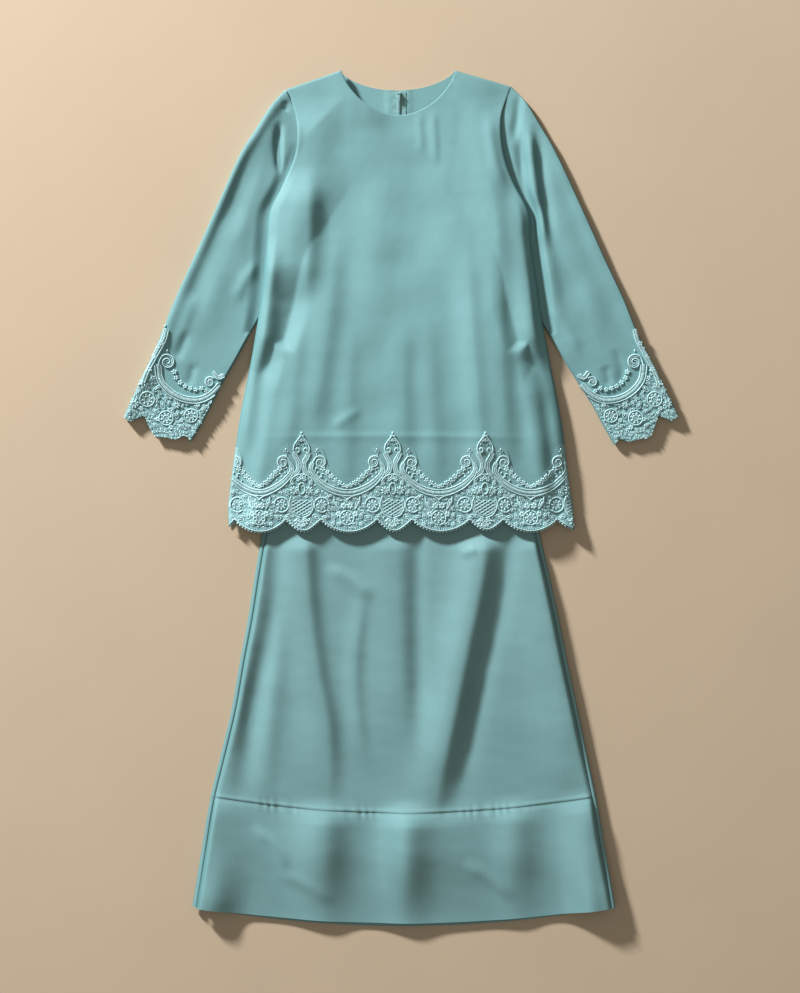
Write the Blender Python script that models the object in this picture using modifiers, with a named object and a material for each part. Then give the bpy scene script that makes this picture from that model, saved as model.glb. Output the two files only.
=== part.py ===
"""Baju kurung: a tunic and its long skirt, laid flat on a surface.

Frame: metres, +Z up from the surface, +Y towards the neck, +X to the viewer's right.
The origin is the middle of the laid-out set, on the surface.
"""
import math

import bmesh
import bpy
import numpy as np
from mathutils import Matrix

MM = 0.001

# Cloth and how the pieces lie on each other
WALL = 1.2             # cloth as a wall
LACE = 1.0             # corded lace as a wall
SEAM_GAP = 0.3         # between two pieces at a seam
SEAM_LIE = 0.35        # between front and back where they meet at the edge
TUBE_HEIGHT = 4.0      # a flattened sleeve or skirt at its folded edge
EDGE_INSET = 2.5       # how far in the folded edge of a tube turns flat
ARMHOLE_GAP = 1.0      # between the armhole's edge and the sleeve beside it
LACE_ROOM = 1.3        # what the lace under a back layer lifts it by
SKIRT_MARGIN = 12.0    # the tunic stays lifted this far past the skirt below it
SKIRT_RAMP = 35.0      # and comes down over this length
SLEEVE_MARGIN = 10.0   # the same past a sleeve's inner edge
SLEEVE_RAMP = 30.0
SLEEVE_ROOM = 0.6      # between a sleeve and the tunic's back above it

# Tunic
TUNIC_HEM_LEFT = -292.0
TUNIC_HEM_RIGHT = 294.0
TUNIC_HEM_Y = -54.0
BODY_PUFF = 5.0        # how far the front stands off the back at its middle
SIDE_TAPER = 40.0      # and the lengths over which it comes down to its edges
SHOULDER_TAPER = 50.0
LEAST_PUFF = 0.6
NECK_LEFT = -101.0
NECK_RIGHT = 92.0
NECK_TOP_Y = 726.0
FRONT_NECK_DROP = 76.0
BACK_NECK_DROP = 33.0
NECK_ROUNDNESS = 0.72
SHOULDER_LEFT = (-195.0, 694.0)
SHOULDER_RIGHT = (186.0, 699.0)
CENTRE_BACK = -4.0

# Sleeves
SLEEVE_PUFF = 3.5
LEAST_SLEEVE_PUFF = 0.2
SLEEVE_ARCH = 0.2      # share of the width over which a sleeve's upper layer rises
TUCK_TOP = (176.0, 600.0)  # where a sleeve's inner edge starts to lie under the tunic
TUCK_BOTTOM_Y = 288.0
UNDER_BODY_MARGIN = 12.0
UNDER_BODY_RAMP = 18.0
BOW_ROWS = 4.0         # rows over which the armhole's curve fades out
SCALLOP_ROWS = 2.0     # rows over which the cuff's scallops fade in

# Skirt
WAIST_Y = 232.0
WAISTBAND_DEPTH = 30.0
BAND_SEAM_Y = -506.0
BAND_SEAM_SAG = 28.0
SKIRT_HEM_Y = -693.0
FRONT_HEM_SAG = 28.0
BACK_HEM_SAG = 34.0
SKIRT_MIDDLE = 4.0
SEAM_HALF_WIDTH = 327.0
HEM_HALF_WIDTH = 358.0
SKIRT_PUFF = 3.0
LEAST_SKIRT_PUFF = 0.3
SEAM_TAPER = 22.0
FRONT_COLUMNS = 22
BACK_COLUMNS = 10
WAISTBAND_COLUMNS = 12
SIDE_SEAM_INSET = 7.5
HIDDEN_SKIRT_RISE = 4.0  # most that the front stands up under the tunic
HIDDEN_FROM_Y = -124.0
HIDDEN_RAMP = 46.0

# Zip
ZIP_TOP_Y = 690.0
ZIP_BOTTOM_Y = 312.0
TAPE_WIDTH = 12.0
TAPE_WALL = 1.0
CHAIN_WIDTH = 5.6
CHAIN_HEIGHT = 1.5
SLIDER_SIZE = (7.3, 11.0, 2.0)
PULL_LENGTH = 12.0
PULL_WIDTH = 4.4
PULL_THICKNESS = 0.9
PULL_AXIS_Y = 687.0
PULL_AXIS_Z = 6.1
EYE_RADIUS = 1.0
EYE_BORE = 0.75
PIN_RADIUS = 0.45
LUG_WIDTH = 0.9
LUG_DEPTH = 2.4
LUG_SINK = 0.6         # how far a lug runs down into the slider
LUG_ABOVE_PIN = 0.9
LUG_CLEARANCE = 0.3    # beside the pull

# Rows of the tunic, from hem to shoulder tip: height, left edge, right edge
BODY_ROWS = (
    (-54, -292, 294),
    (-20, -293, 292),
    (20, -289, 286),
    (60, -284, 281),
    (95, -279, 277),
    (125, -275, 273),
    (175, -266, 264),
    (235, -254, 252),
    (305, -242, 238),
    (370, -233, 229),
    (439, -227, 219),
    (487, -222, 216),
    (531, -201, 193),
    (590, -178, 173),
    (645, -178, 170),
    (696, -195, 186),
)

# Scallops of the tunic's hem: left notch, right notch, height of the lobe's lowest point
HEM_LOBES = (
    (-320, -195, -59),
    (-195, -134, -55),
    (-134, -41, -58),
    (-41, 20, -54),
    (20, 116, -57),
    (116, 175, -50),
    (175, 264, -57),
    (264, 330, -53),
)
NOTCH_Y = -37.0
LOBE_STEPS = (0.0, 0.2, 0.5, 0.8)
SIDE_STATIONS = (15.0, 53.0)  # more grid columns inside the left side seam

# Rows of the sleeves, from armhole to cuff: outer edge x, y, inner edge x, y
LEFT_SLEEVE_ROWS = (
    (-196.4, 694, -168, 520),
    (-222, 665, -180, 478),
    (-248, 624, -192, 436),
    (-274, 582, -204, 398),
    (-312, 497, -220, 350),
    (-348, 417, -242, 305),
    (-384, 337, -262, 268),
    (-405, 283, -284, 228),
    (-424, 238, -304, 193),
    (-441, 203, -322, 157),
    (-457, 168, -339, 125),
    (-471, 138, -356, 96),
)
RIGHT_SLEEVE_ROWS = (
    (187.4, 699, 164, 520),
    (212, 673, 176, 478),
    (238, 631, 188, 436),
    (264, 586, 200, 398),
    (308, 492, 214, 348),
    (346, 408, 238, 301),
    (379, 337, 262, 260),
    (401, 282, 285, 220),
    (424, 237, 308, 184),
    (442, 201, 325, 157),
    (457, 170, 343, 124),
    (471, 140, 362, 90),
)

# Scallops of a cuff: share across from the outer edge, how far the hem moves up the arm
CUFF_SCALLOPS = (
    (0.0, 0.0),
    (0.12, -2.0),
    (0.25, 13.0),
    (0.36, 2.0),
    (0.5, -11.0),
    (0.65, -8.0),
    (0.8, -4.0),
    (0.9, 6.0),
    (1.0, 0.0),
)

# Edges of the skirt, from waist to hem: height, left edge, right edge
SKIRT_EDGES = (
    (232, -184, 184),
    (160, -200, 198),
    (80, -214, 212),
    (0, -226, 225),
    (-65, -237, 237),
    (-130, -248, 252),
    (-200, -259, 267),
    (-280, -274, 283),
    (-360, -288, 300),
    (-440, -307, 317),
    (-506, -323, 331),
    (-600, -339, 347),
    (-693, -354, 363),
    (-730, -360, 369),
)

# Heights of the skirt's rows at its middle, above the band
SKIRT_ROWS = (201.7, 110, 20, -76, -125, -180, -240, -310, -380, -450)

# Largest folds: three points of the fold's line (x, y each), height, half width
TUNIC_FOLDS = (
    (-222, 445, -222, 337, -248, 160, 5.0, 14),
    (-192, 425, -194, 290, -231, 116, -3.5, 14),
    (-172, 520, -170, 455, -167, 400, 4.0, 16),
    (-112, 440, -114, 286, -134, 110, 4.0, 16),
    (163, 560, 163, 290, 182, 90, 5.0, 18),
    (196, 400, 202, 252, 230, 99, -3.5, 14),
    (124, 330, 131, 190, 138, 110, 4.0, 14),
    (-2, 300, 5, 170, 5, 30, 3.0, 20),
)
SKIRT_FOLDS = (
    (-214, -40, -237, -180, -268, -400, 5.0, 13),
    (-190, -40, -214, -180, -252, -420, -3.0, 14),
    (-178, -40, -160, -180, -124, -480, 5.0, 16),
    (-146, -40, -130, -180, -94, -480, -3.5, 15),
    (-14, -40, -14, -220, -14, -480, 4.0, 24),
    (150, -40, 122, -220, 76, -510, 9.0, 17),
    (184, -40, 160, -220, 104, -510, -5.0, 15),
    (232, -40, 262, -220, 296, -480, 4.0, 16),
    (-134, -500, -137, -600, -142, -700, 6.0, 26),
    (8, -500, 7, -600, 5, -720, 7.0, 26),
    (180, -500, 183, -600, 188, -700, 5.0, 30),
    (310, -500, 318, -600, 330, -690, 5.0, 18),
)
LEFT_SLEEVE_FOLDS = (
    (-206, 672, -226, 600, -262, 480, 5.0, 13),
    (-206, 620, -203, 580, -202, 530, -3.0, 10),
    (-360, 340, -376, 290, -392, 250, 3.0, 14),
)
RIGHT_SLEEVE_FOLDS = (
    (212, 640, 230, 560, 246, 430, 7.0, 12),
    (198, 620, 208, 540, 222, 430, -4.0, 11),
    (360, 280, 366, 240, 368, 200, 3.0, 13),
)

# Lace: heights of its upper edge by the distance from a peak's middle
LACE_EDGE = (
    (0, 113),
    (6, 103),
    (12, 92),
    (27, 90),
    (40, 73),
    (44, 58),
    (52, 46),
    (64, 33),
    (78, 22),
)
LACE_PEAKS = (-311.0, -168.0, -14.0, 142.0, 297.0)

HEM_LACE_ROWS = 8      # rows of the tunic's grid that its lace follows
HEM_LACE_TOP_Y = 122.0
HEM_LACE_RAMP = 30.0
CUFF_LACE_ROW = 6      # first row of a sleeve that its lace follows

# Openings in one repeat: offset from the peak, height, half width, half height, sides
LACE_GAPS = (
    (0, 72, 5.5, 13, 6),
    (2, 16, 7, 10, 8),
    (-17, 58, 4.5, 11, 4),
    (17, 58, 4.5, 11, 4),
    (-32, 62, 4.5, 4.5, 5),
    (32, 62, 4.5, 4.5, 5),
    (-29, 36, 7, 5.5, 5),
    (29, 36, 7, 5.5, 5),
    (-24, 6, 4.5, 6, 4),
    (24, 6, 4.5, 6, 4),
    (-52, 16, 7, 4.5, 5),
    (52, 16, 7, 4.5, 5),
)
BACK_GAP_COUNT = 8
GAP_CLEARANCE = 14.0   # least distance from an opening's middle to the tunic's side
CUT_LOW = -30.0        # lowest and highest point of the lace's cutters
CUT_HIGH = 60.0
BEYOND_EDGE = 30.0     # how far the cutters run past the hem's ends

# Lace of a cuff: share across and distance up from the hem line, for its upper edge
CUFF_LACE_EDGE = (
    (-0.05, 100),
    (0.0, 100),
    (0.07, 84),
    (0.19, 72),
    (0.23, 52),
    (0.38, 34),
    (0.6, 30),
    (0.8, 46),
    (0.86, 68),
    (0.95, 80),
    (1.05, 92),
)

# Openings in a cuff's lace: share across, distance up, half width, half height, sides
CUFF_GAPS = (
    (0.12, 44, 6, 7, 6),
    (0.27, 30, 5.5, 6, 5),
    (0.5, 14, 7, 6, 6),
    (0.72, 22, 6, 5, 5),
    (0.88, 44, 5.5, 7, 6),
)

# Colours (linear), roughness, metallic
CREPE = ((0.223, 0.445, 0.456, 1.0), 0.62, 0.0)
SATIN = ((0.235, 0.430, 0.445, 1.0), 0.38, 0.0)
CORD = ((0.330, 0.610, 0.610, 1.0), 0.55, 0.0)
TAPE = ((0.200, 0.420, 0.430, 1.0), 0.7, 0.0)
ENAMEL = ((0.330, 0.560, 0.560, 1.0), 0.35, 0.0)


def remove_scene_objects():
    for old in list(bpy.data.objects):
        bpy.data.objects.remove(old, do_unlink=True)


def make_collection(name):
    group = bpy.data.collections.new(name)
    bpy.context.scene.collection.children.link(group)
    return group


def make_material(name, look):
    colour, roughness, metallic = look
    material = bpy.data.materials.new(name)
    material.use_nodes = True
    shader = material.node_tree.nodes["Principled BSDF"]
    shader.inputs["Base Color"].default_value = colour
    shader.inputs["Roughness"].default_value = roughness
    shader.inputs["Metallic"].default_value = metallic
    material.diffuse_color = colour
    return material


def smooth(value):
    """Ease from 0 to 1, flat at both ends."""
    share = np.clip(value, 0.0, 1.0)
    return share * share * (3.0 - 2.0 * share)


def column(table, index):
    return [row[index] for row in table]


def along(table, value, key=0, result=1):
    """Read a table at a value of its key column, whichever way that column runs."""
    keys = column(table, key)
    results = column(table, result)
    if keys[0] > keys[-1]:
        keys = keys[::-1]
        results = results[::-1]
    return float(np.interp(value, keys, results))


def distance_to_line(x, y, points):
    """Distance to a polyline, and the share of its length where the nearest point is."""
    best = (1e9, 0.0)
    total = sum(math.dist(a, b) for a, b in zip(points, points[1:]))
    passed = 0.0
    for start, end in zip(points, points[1:]):
        length = math.dist(start, end)
        dx = (end[0] - start[0]) / length
        dy = (end[1] - start[1]) / length
        step = (x - start[0]) * dx + (y - start[1]) * dy
        step = min(max(step, 0.0), length)
        gap = math.hypot(x - start[0] - dx * step, y - start[1] - dy * step)
        if gap < best[0]:
            best = (gap, (passed + step) / total)
        passed += length
    return best


def fold_height(x, y, folds):
    """Sum of soft ridges and troughs that fade out at both ends."""
    height = 0.0
    for x1, y1, x2, y2, x3, y3, rise, half_width in folds:
        gap, share = distance_to_line(x, y, ((x1, y1), (x2, y2), (x3, y3)))
        if gap > 3.0 * half_width:
            continue
        fade = smooth(share * 5.0 + 0.2) * smooth((1.0 - share) * 5.0 + 0.2)
        height += rise * fade * math.exp(-((gap / half_width) ** 2))
    return height


def hem_height(x):
    """The tunic's scalloped hem."""
    for left, right, lowest in HEM_LOBES:
        if left <= x <= right:
            share = (x - left) / (right - left)
            return NOTCH_Y + (lowest - NOTCH_Y) * math.sin(math.pi * share) ** 0.6
    return NOTCH_Y


def hem_stations():
    """Places of the tunic's grid columns along the hem."""
    places = {TUNIC_HEM_LEFT, TUNIC_HEM_RIGHT}
    places.update(TUNIC_HEM_LEFT + inset for inset in SIDE_STATIONS)
    for left, right, _ in HEM_LOBES:
        for share in LOBE_STEPS:
            place = left + (right - left) * share
            if TUNIC_HEM_LEFT + 4.0 < place < TUNIC_HEM_RIGHT - 4.0:
                places.add(place)
    return sorted(places)


def shoulder_height(x):
    return float(np.interp(
        x,
        (SHOULDER_LEFT[0], NECK_LEFT, NECK_RIGHT, SHOULDER_RIGHT[0]),
        (SHOULDER_LEFT[1], NECK_TOP_Y, NECK_TOP_Y, SHOULDER_RIGHT[1]),
    ))


def neck_drop(x, depth):
    middle = 0.5 * (NECK_LEFT + NECK_RIGHT)
    share = abs(x - middle) / (0.5 * (NECK_RIGHT - NECK_LEFT))
    if share >= 1.0:
        return 0.0
    return depth * (1.0 - share * share) ** NECK_ROUNDNESS


def body_edges(y):
    left = along(BODY_ROWS, y, 0, 1)
    right = along(BODY_ROWS, y, 0, 2)
    return left, right


def skirt_edges(y):
    left = along(SKIRT_EDGES, y, 0, 1)
    right = along(SKIRT_EDGES, y, 0, 2)
    return left, right


def body_plan(station, row, drop):
    """Plan position of a tunic grid point: a hem station followed up to a row."""
    row_y, left, right = BODY_ROWS[row]
    rise = row / (len(BODY_ROWS) - 1)
    up = (row_y - TUNIC_HEM_Y) / (BODY_ROWS[-1][0] - TUNIC_HEM_Y)
    hem_share = (station - TUNIC_HEM_LEFT) / (TUNIC_HEM_RIGHT - TUNIC_HEM_LEFT)
    neck_left_station = NECK_STATIONS[0]
    neck_right_station = NECK_STATIONS[1]
    top_x = float(np.interp(
        station,
        (TUNIC_HEM_LEFT, neck_left_station, neck_right_station, TUNIC_HEM_RIGHT),
        (SHOULDER_LEFT[0], NECK_LEFT, NECK_RIGHT, SHOULDER_RIGHT[0]),
    ))
    top_share = (top_x - SHOULDER_LEFT[0]) / (SHOULDER_RIGHT[0] - SHOULDER_LEFT[0])
    share = hem_share + (top_share - hem_share) * up
    x = left + (right - left) * share
    hem_part = (1.0 - rise) ** 3 * (hem_height(station) - TUNIC_HEM_Y)
    top_part = up ** 3 * (shoulder_height(top_x) - BODY_ROWS[-1][0])
    neck_part = up ** 6 * neck_drop(top_x, drop)
    return x, row_y + hem_part + top_part - neck_part


def lift_over_skirt(x, y):
    left, right = skirt_edges(y)
    beyond = max(left - x, x - right, y - WAIST_Y, 0.0)
    full = TUBE_HEIGHT + HIDDEN_SKIRT_RISE + SEAM_GAP + LACE_ROOM
    return full * (1.0 - float(smooth((beyond - SKIRT_MARGIN) / SKIRT_RAMP)))


def lift_over_sleeve(x, y, rows, side):
    """Height of the tunic's back where a sleeve's inner edge lies under it."""
    inner_y = [TUCK_TOP[1]] + [row[3] for row in rows[:6]]
    inner_x = [side * TUCK_TOP[0]] + [row[2] for row in rows[:6]]
    edge = float(np.interp(y, inner_y[::-1], inner_x[::-1]))
    beyond = max(side * (edge - x), y - TUCK_TOP[1], TUCK_BOTTOM_Y - y, 0.0)
    full = TUBE_HEIGHT + SLEEVE_ROOM
    return full * (1.0 - float(smooth((beyond - SLEEVE_MARGIN) / SLEEVE_RAMP)))


def lift_over_lace(y):
    return LACE_ROOM * (1.0 - float(smooth((y - HEM_LACE_TOP_Y) / HEM_LACE_RAMP)))


def back_floor(x, y):
    """Height of the underside of the tunic's back."""
    return max(
        lift_over_lace(y),
        lift_over_skirt(x, y),
        lift_over_sleeve(x, y, LEFT_SLEEVE_ROWS, -1),
        lift_over_sleeve(x, y, RIGHT_SLEEVE_ROWS, 1),
    )


def front_rise(x, y):
    """How far the tunic's front stands off the back below it."""
    left, right = body_edges(y)
    from_side = min(x - left, right - x)
    edge = float(smooth(from_side / SIDE_TAPER))
    shoulder = float(smooth((shoulder_height(x) - y) / SHOULDER_TAPER))
    hem = 0.45 + 0.55 * float(smooth((y + 40.0) / 150.0))
    puff = BODY_PUFF * hem + fold_height(x, y, TUNIC_FOLDS)
    return max(puff, LEAST_PUFF) * edge * shoulder


def skirt_rise(x, y):
    """How far the skirt's front stands off its back."""
    left, right = skirt_edges(y)
    from_seam = min(x - left, right - x) - SIDE_SEAM_INSET
    edge = float(smooth(from_seam / SEAM_TAPER))
    puff = SKIRT_PUFF + fold_height(x, y, SKIRT_FOLDS)
    free = max(puff, LEAST_SKIRT_PUFF)
    hidden = float(smooth((y - HIDDEN_FROM_Y) / HIDDEN_RAMP))
    return (free + (min(free, HIDDEN_SKIRT_RISE) - free) * hidden) * edge


def grid_mesh(name, points, closed=False):
    """Join a table of rows of points into one triangulated open surface."""
    rows = len(points)
    count = len(points[0])
    mesh = bpy.data.meshes.new(name)
    body = bmesh.new()
    verts = [[body.verts.new([value * MM for value in point]) for point in row] for row in points]
    last = count if closed else count - 1
    for row in range(rows - 1):
        for col in range(last):
            after = (col + 1) % count
            body.faces.new((
                verts[row][col],
                verts[row][after],
                verts[row + 1][after],
                verts[row + 1][col],
            ))
    bmesh.ops.triangulate(body, faces=body.faces[:], quad_method="SHORT_EDGE")
    body.to_mesh(mesh)
    body.free()
    return mesh


def add_object(name, mesh, material, group):
    made = bpy.data.objects.new(name, mesh)
    group.objects.link(made)
    if material is not None:
        mesh.materials.clear()
        mesh.materials.append(material)
    return made


def thicken(made, thickness, start):
    """Give an open surface a wall that runs from start to start + thickness along its normals."""
    wall = made.modifiers.new("Wall", "SOLIDIFY")
    wall.thickness = thickness * MM
    wall.offset = 2.0 * start / thickness + 1.0


def make_cutter(name, polygons, low, high, group):
    """Upright prisms on plan outlines, as one hidden cutting object."""
    mesh = bpy.data.meshes.new(name)
    body = bmesh.new()
    for outline in polygons:
        floor = [body.verts.new((x * MM, y * MM, low * MM)) for x, y in outline]
        face = body.faces.new(floor)
        raised = bmesh.ops.extrude_face_region(body, geom=[face])["geom"]
        moved = [item for item in raised if isinstance(item, bmesh.types.BMVert)]
        bmesh.ops.translate(body, verts=moved, vec=(0.0, 0.0, (high - low) * MM))
    bmesh.ops.recalc_face_normals(body, faces=body.faces[:])
    body.to_mesh(mesh)
    body.free()
    made = add_object(name, mesh, None, group)
    hide_tool(made)
    return made


def hide_tool(made):
    made.hide_render = True
    made.display_type = "WIRE"


def cut(made, cutter):
    cutting = made.modifiers.new("Cut", "BOOLEAN")
    cutting.operation = "DIFFERENCE"
    cutting.solver = "EXACT"
    cutting.object = cutter


def ring(x, y, half_width, half_height, sides, turn=0.0):
    """Outline of one opening in the lace."""
    return [
        (
            x + half_width * math.cos(turn + 2.0 * math.pi * step / sides),
            y + half_height * math.sin(turn + 2.0 * math.pi * step / sides),
        )
        for step in range(sides)
    ]


def lace_top(x):
    nearest = min(abs(x - peak) for peak in LACE_PEAKS)
    return along(LACE_EDGE, nearest, 0, 1)


def hem_lace_outlines(gap_count):
    """What is cut away from the hem's lace: all above its peaked edge, and the openings."""
    first = TUNIC_HEM_LEFT - BEYOND_EDGE
    last = TUNIC_HEM_RIGHT + BEYOND_EDGE
    places = {first, last}
    for peak in LACE_PEAKS:
        for distance, _ in LACE_EDGE[:-1]:
            places.add(peak - distance)
            places.add(peak + distance)
    for left, right in zip(LACE_PEAKS, LACE_PEAKS[1:]):
        places.add(0.5 * (left + right))
    inside = [x for x in sorted(places) if first <= x <= last]
    edge = [(x, lace_top(x)) for x in inside]
    above = edge + [(last, NECK_TOP_Y), (first, NECK_TOP_Y)]
    outlines = [above]
    for peak in LACE_PEAKS:
        for offset, y, half_width, half_height, sides in LACE_GAPS[:gap_count]:
            x = peak + offset
            left, right = body_edges(y)
            if left + GAP_CLEARANCE < x < right - GAP_CLEARANCE:
                outlines.append(ring(x, y, half_width, half_height, sides, math.pi / 2.0))
    return outlines


def build_tunic(group, cutters, crepe, cord):
    stations = hem_stations()
    rows = range(len(BODY_ROWS))

    front_points = []
    for row in rows:
        line = []
        for station in stations:
            x, y = body_plan(station, row, FRONT_NECK_DROP)
            z = back_floor(x, y) + WALL + SEAM_LIE + front_rise(x, y)
            line.append((x, y, z))
        front_points.append(line)
    front = add_object("tunic_front", grid_mesh("tunic_front", front_points), crepe, group)
    thicken(front, WALL, 0.0)

    back_points = []
    for row in rows:
        line = []
        for station in stations:
            x, y = body_plan(station, row, BACK_NECK_DROP)
            line.append((x, y, back_floor(x, y)))
        back_points.append(line)
    middle = stations.index(nearest_station(CENTRE_BACK))
    halves = (
        ("tunic_back_left", 0, middle + 1, -1),
        ("tunic_back_right", middle, len(stations), 1),
    )
    for row in rows:
        x, y, _ = back_points[row][middle]
        back_points[row][middle] = (CENTRE_BACK, y, back_floor(CENTRE_BACK, y))
    for name, first, last, side in halves:
        points = [list(line[first:last]) for line in back_points]
        seam = len(points[0]) - 1 if side < 0 else 0
        for line in points:
            x, y, z = line[seam]
            line[seam] = (x + side * 0.5 * SEAM_GAP, y, z)
        half = add_object(name, grid_mesh(name, points), crepe, group)
        thicken(half, WALL, 0.0)

    faces = (
        ("lace_hem_front", front_points, WALL + SEAM_GAP, len(LACE_GAPS)),
        ("lace_hem_back", back_points, -SEAM_GAP - LACE, BACK_GAP_COUNT),
    )
    for name, points, start, gaps in faces:
        lace = add_object(name, grid_mesh(name, points[:HEM_LACE_ROWS]), cord, group)
        thicken(lace, LACE, start)
        cut(lace, make_cutter(name + "_cutter", hem_lace_outlines(gaps), CUT_LOW, CUT_HIGH, cutters))


def armhole_curve(rows, share, side):
    """The sleeve's upper end: beside the armhole above, then on under the tunic's side."""
    clear = side * ARMHOLE_GAP
    column_of_edge = 1 if side < 0 else 2
    chest = [(row[column_of_edge] + clear, row[0]) for row in BODY_ROWS[-2:-4:-1]]
    end = (rows[0][2], rows[0][3])
    under = (0.5 * (chest[-1][0] + end[0]), 0.5 * (chest[-1][1] + end[1]))
    points = [(rows[0][0], rows[0][1])] + chest + [under, end]
    lengths = [math.dist(a, b) for a, b in zip(points, points[1:])]
    target = share * sum(lengths)
    for start, end, length in zip(points, points[1:], lengths):
        if target <= length:
            part = target / length
            return (
                start[0] + (end[0] - start[0]) * part,
                start[1] + (end[1] - start[1]) * part,
            )
        target -= length
    return points[-1]


def sleeve_plan(rows, row, share, side):
    """Plan position on a sleeve: row from armhole to cuff, share from outer to inner edge."""
    out_x, out_y, in_x, in_y = rows[row]
    x = out_x + (in_x - out_x) * share
    y = out_y + (in_y - out_y) * share
    first_x = rows[0][0] + (rows[0][2] - rows[0][0]) * share
    first_y = rows[0][1] + (rows[0][3] - rows[0][1]) * share
    curve_x, curve_y = armhole_curve(rows, share, side)
    bow = max(0.0, 1.0 - row / BOW_ROWS) ** 2
    x += (curve_x - first_x) * bow
    y += (curve_y - first_y) * bow
    scallop = along(CUFF_SCALLOPS, share)
    near_cuff = max(0.0, 1.0 - (len(rows) - 1 - row) / SCALLOP_ROWS)
    up_x, up_y = sleeve_direction(rows)
    return x + up_x * scallop * near_cuff, y + up_y * scallop * near_cuff


def sleeve_direction(rows):
    """Unit direction up the arm near the cuff."""
    low = rows[-1]
    high = rows[-5]
    dx = 0.5 * (high[0] + high[2] - low[0] - low[2])
    dy = 0.5 * (high[1] + high[3] - low[1] - low[3])
    length = math.hypot(dx, dy)
    return dx / length, dy / length


def sleeve_rise(x, y, share, row, rows, folds):
    """How far a sleeve's upper layer stands above its folded edges."""
    arch = float(smooth(share / SLEEVE_ARCH) * smooth((1.0 - share) / SLEEVE_ARCH))
    from_armhole = float(smooth((row - 0.2) / 2.5))
    near_cuff = 1.0 - 0.3 * float(smooth((row - len(rows) + 4.0) / 3.0))
    puff = SLEEVE_PUFF * near_cuff + fold_height(x, y, folds)
    under_body = 0.0
    if TUCK_BOTTOM_Y < y < TUCK_TOP[1] + SLEEVE_MARGIN:
        left, right = body_edges(y)
        inside = max(left - x, x - right)
        under_body = 1.0 - float(smooth((inside - UNDER_BODY_MARGIN) / UNDER_BODY_RAMP))
    return max(puff, LEAST_SLEEVE_PUFF) * arch * from_armhole * (1.0 - under_body)


def sleeve_sections(rows, folds, side):
    """Rings of the flattened sleeve, and its upper and lower layers on their own."""
    shares = [entry[0] for entry in CUFF_SCALLOPS]
    upper_rows = []
    lower_rows = []
    rings = []
    for row in range(len(rows)):
        out = sleeve_plan(rows, row, 0.0, side)
        inner = sleeve_plan(rows, row, 1.0, side)
        width = math.dist(out, inner)
        inset = EDGE_INSET / width
        room = LACE_ROOM * float(smooth((row - len(rows) + 6.0) / 2.0))
        upper = []
        lower = []
        for share in shares:
            place = inset + (1.0 - 2.0 * inset) * share
            x, y = sleeve_plan(rows, row, place, side)
            rise = sleeve_rise(x, y, share, row, rows, folds)
            upper.append((x, y, room + TUBE_HEIGHT + rise))
            lower.append((x, y, room))
        outer_edge = (out[0], out[1], room + 0.5 * TUBE_HEIGHT)
        inner_edge = (inner[0], inner[1], room + 0.5 * TUBE_HEIGHT)
        rings.append([outer_edge] + upper + [inner_edge] + lower[::-1])
        upper_rows.append(upper)
        lower_rows.append(lower)
    return rings, upper_rows, lower_rows


def cuff_outlines(rows):
    """What is cut away from a cuff's lace, laid out from the cuff's own line."""
    up_x, up_y = sleeve_direction(rows)
    out_x, out_y, in_x, in_y = rows[-1]

    def place(share, up):
        return (
            out_x + (in_x - out_x) * share + up_x * up,
            out_y + (in_y - out_y) * share + up_y * up,
        )

    edge = [place(share, up) for share, up in CUFF_LACE_EDGE]
    above = edge + [place(1.6, 92.0), place(1.6, 400.0), place(-0.6, 400.0), place(-0.6, 100.0)]
    across = math.dist((out_x, out_y), (in_x, in_y))
    outlines = [above]
    for share, up, half_width, half_height, sides in CUFF_GAPS:
        outlines.append([
            place(share + dx / across, up + dy)
            for dx, dy in ring(0.0, 0.0, half_width, half_height, sides)
        ])
    return outlines


def facing(points, upward):
    """Reverse the rows where a layer's normals would point the wrong way."""
    first = np.array(points[0][0])
    across = np.array(points[0][1]) - first
    along_side = np.array(points[1][0]) - first
    is_up = np.cross(across, along_side)[2] > 0.0
    if is_up == upward:
        return points
    return [row[::-1] for row in points]


def build_sleeve(name, rows, folds, side, group, cutters, crepe, cord):
    rings, upper, lower = sleeve_sections(rows, folds, side)
    if side < 0:
        rings = [line[::-1] for line in rings]
    tube = add_object("sleeve_" + name, grid_mesh("sleeve_" + name, rings, True), crepe, group)
    thicken(tube, WALL, -WALL)
    layers = (
        ("lace_cuff_%s_front" % name, upper[CUFF_LACE_ROW:], True),
        ("lace_cuff_%s_back" % name, lower[CUFF_LACE_ROW:], False),
    )
    for lace_name, points, upward in layers:
        surface = grid_mesh(lace_name, facing(points, upward))
        lace = add_object(lace_name, surface, cord, group)
        thicken(lace, LACE, SEAM_GAP)
        outlines = cuff_outlines(rows)
        cut(lace, make_cutter(lace_name + "_cutter", outlines, CUT_LOW, CUT_HIGH, cutters))


def skirt_seam_y(x):
    share = min(abs(x - SKIRT_MIDDLE) / SEAM_HALF_WIDTH, 1.0)
    return BAND_SEAM_Y - BAND_SEAM_SAG * (1.0 - share * share)


def skirt_hem_y(x, sag):
    share = min(abs(x - SKIRT_MIDDLE) / HEM_HALF_WIDTH, 1.0)
    return SKIRT_HEM_Y - sag * (1.0 - share * share)


def height_at_edge(curve, side):
    """Height where a curve across the skirt meets its left or right edge."""
    x = 0.0
    for _ in range(4):
        x = skirt_edges(curve(x))[side]
    return curve(x)


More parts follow.
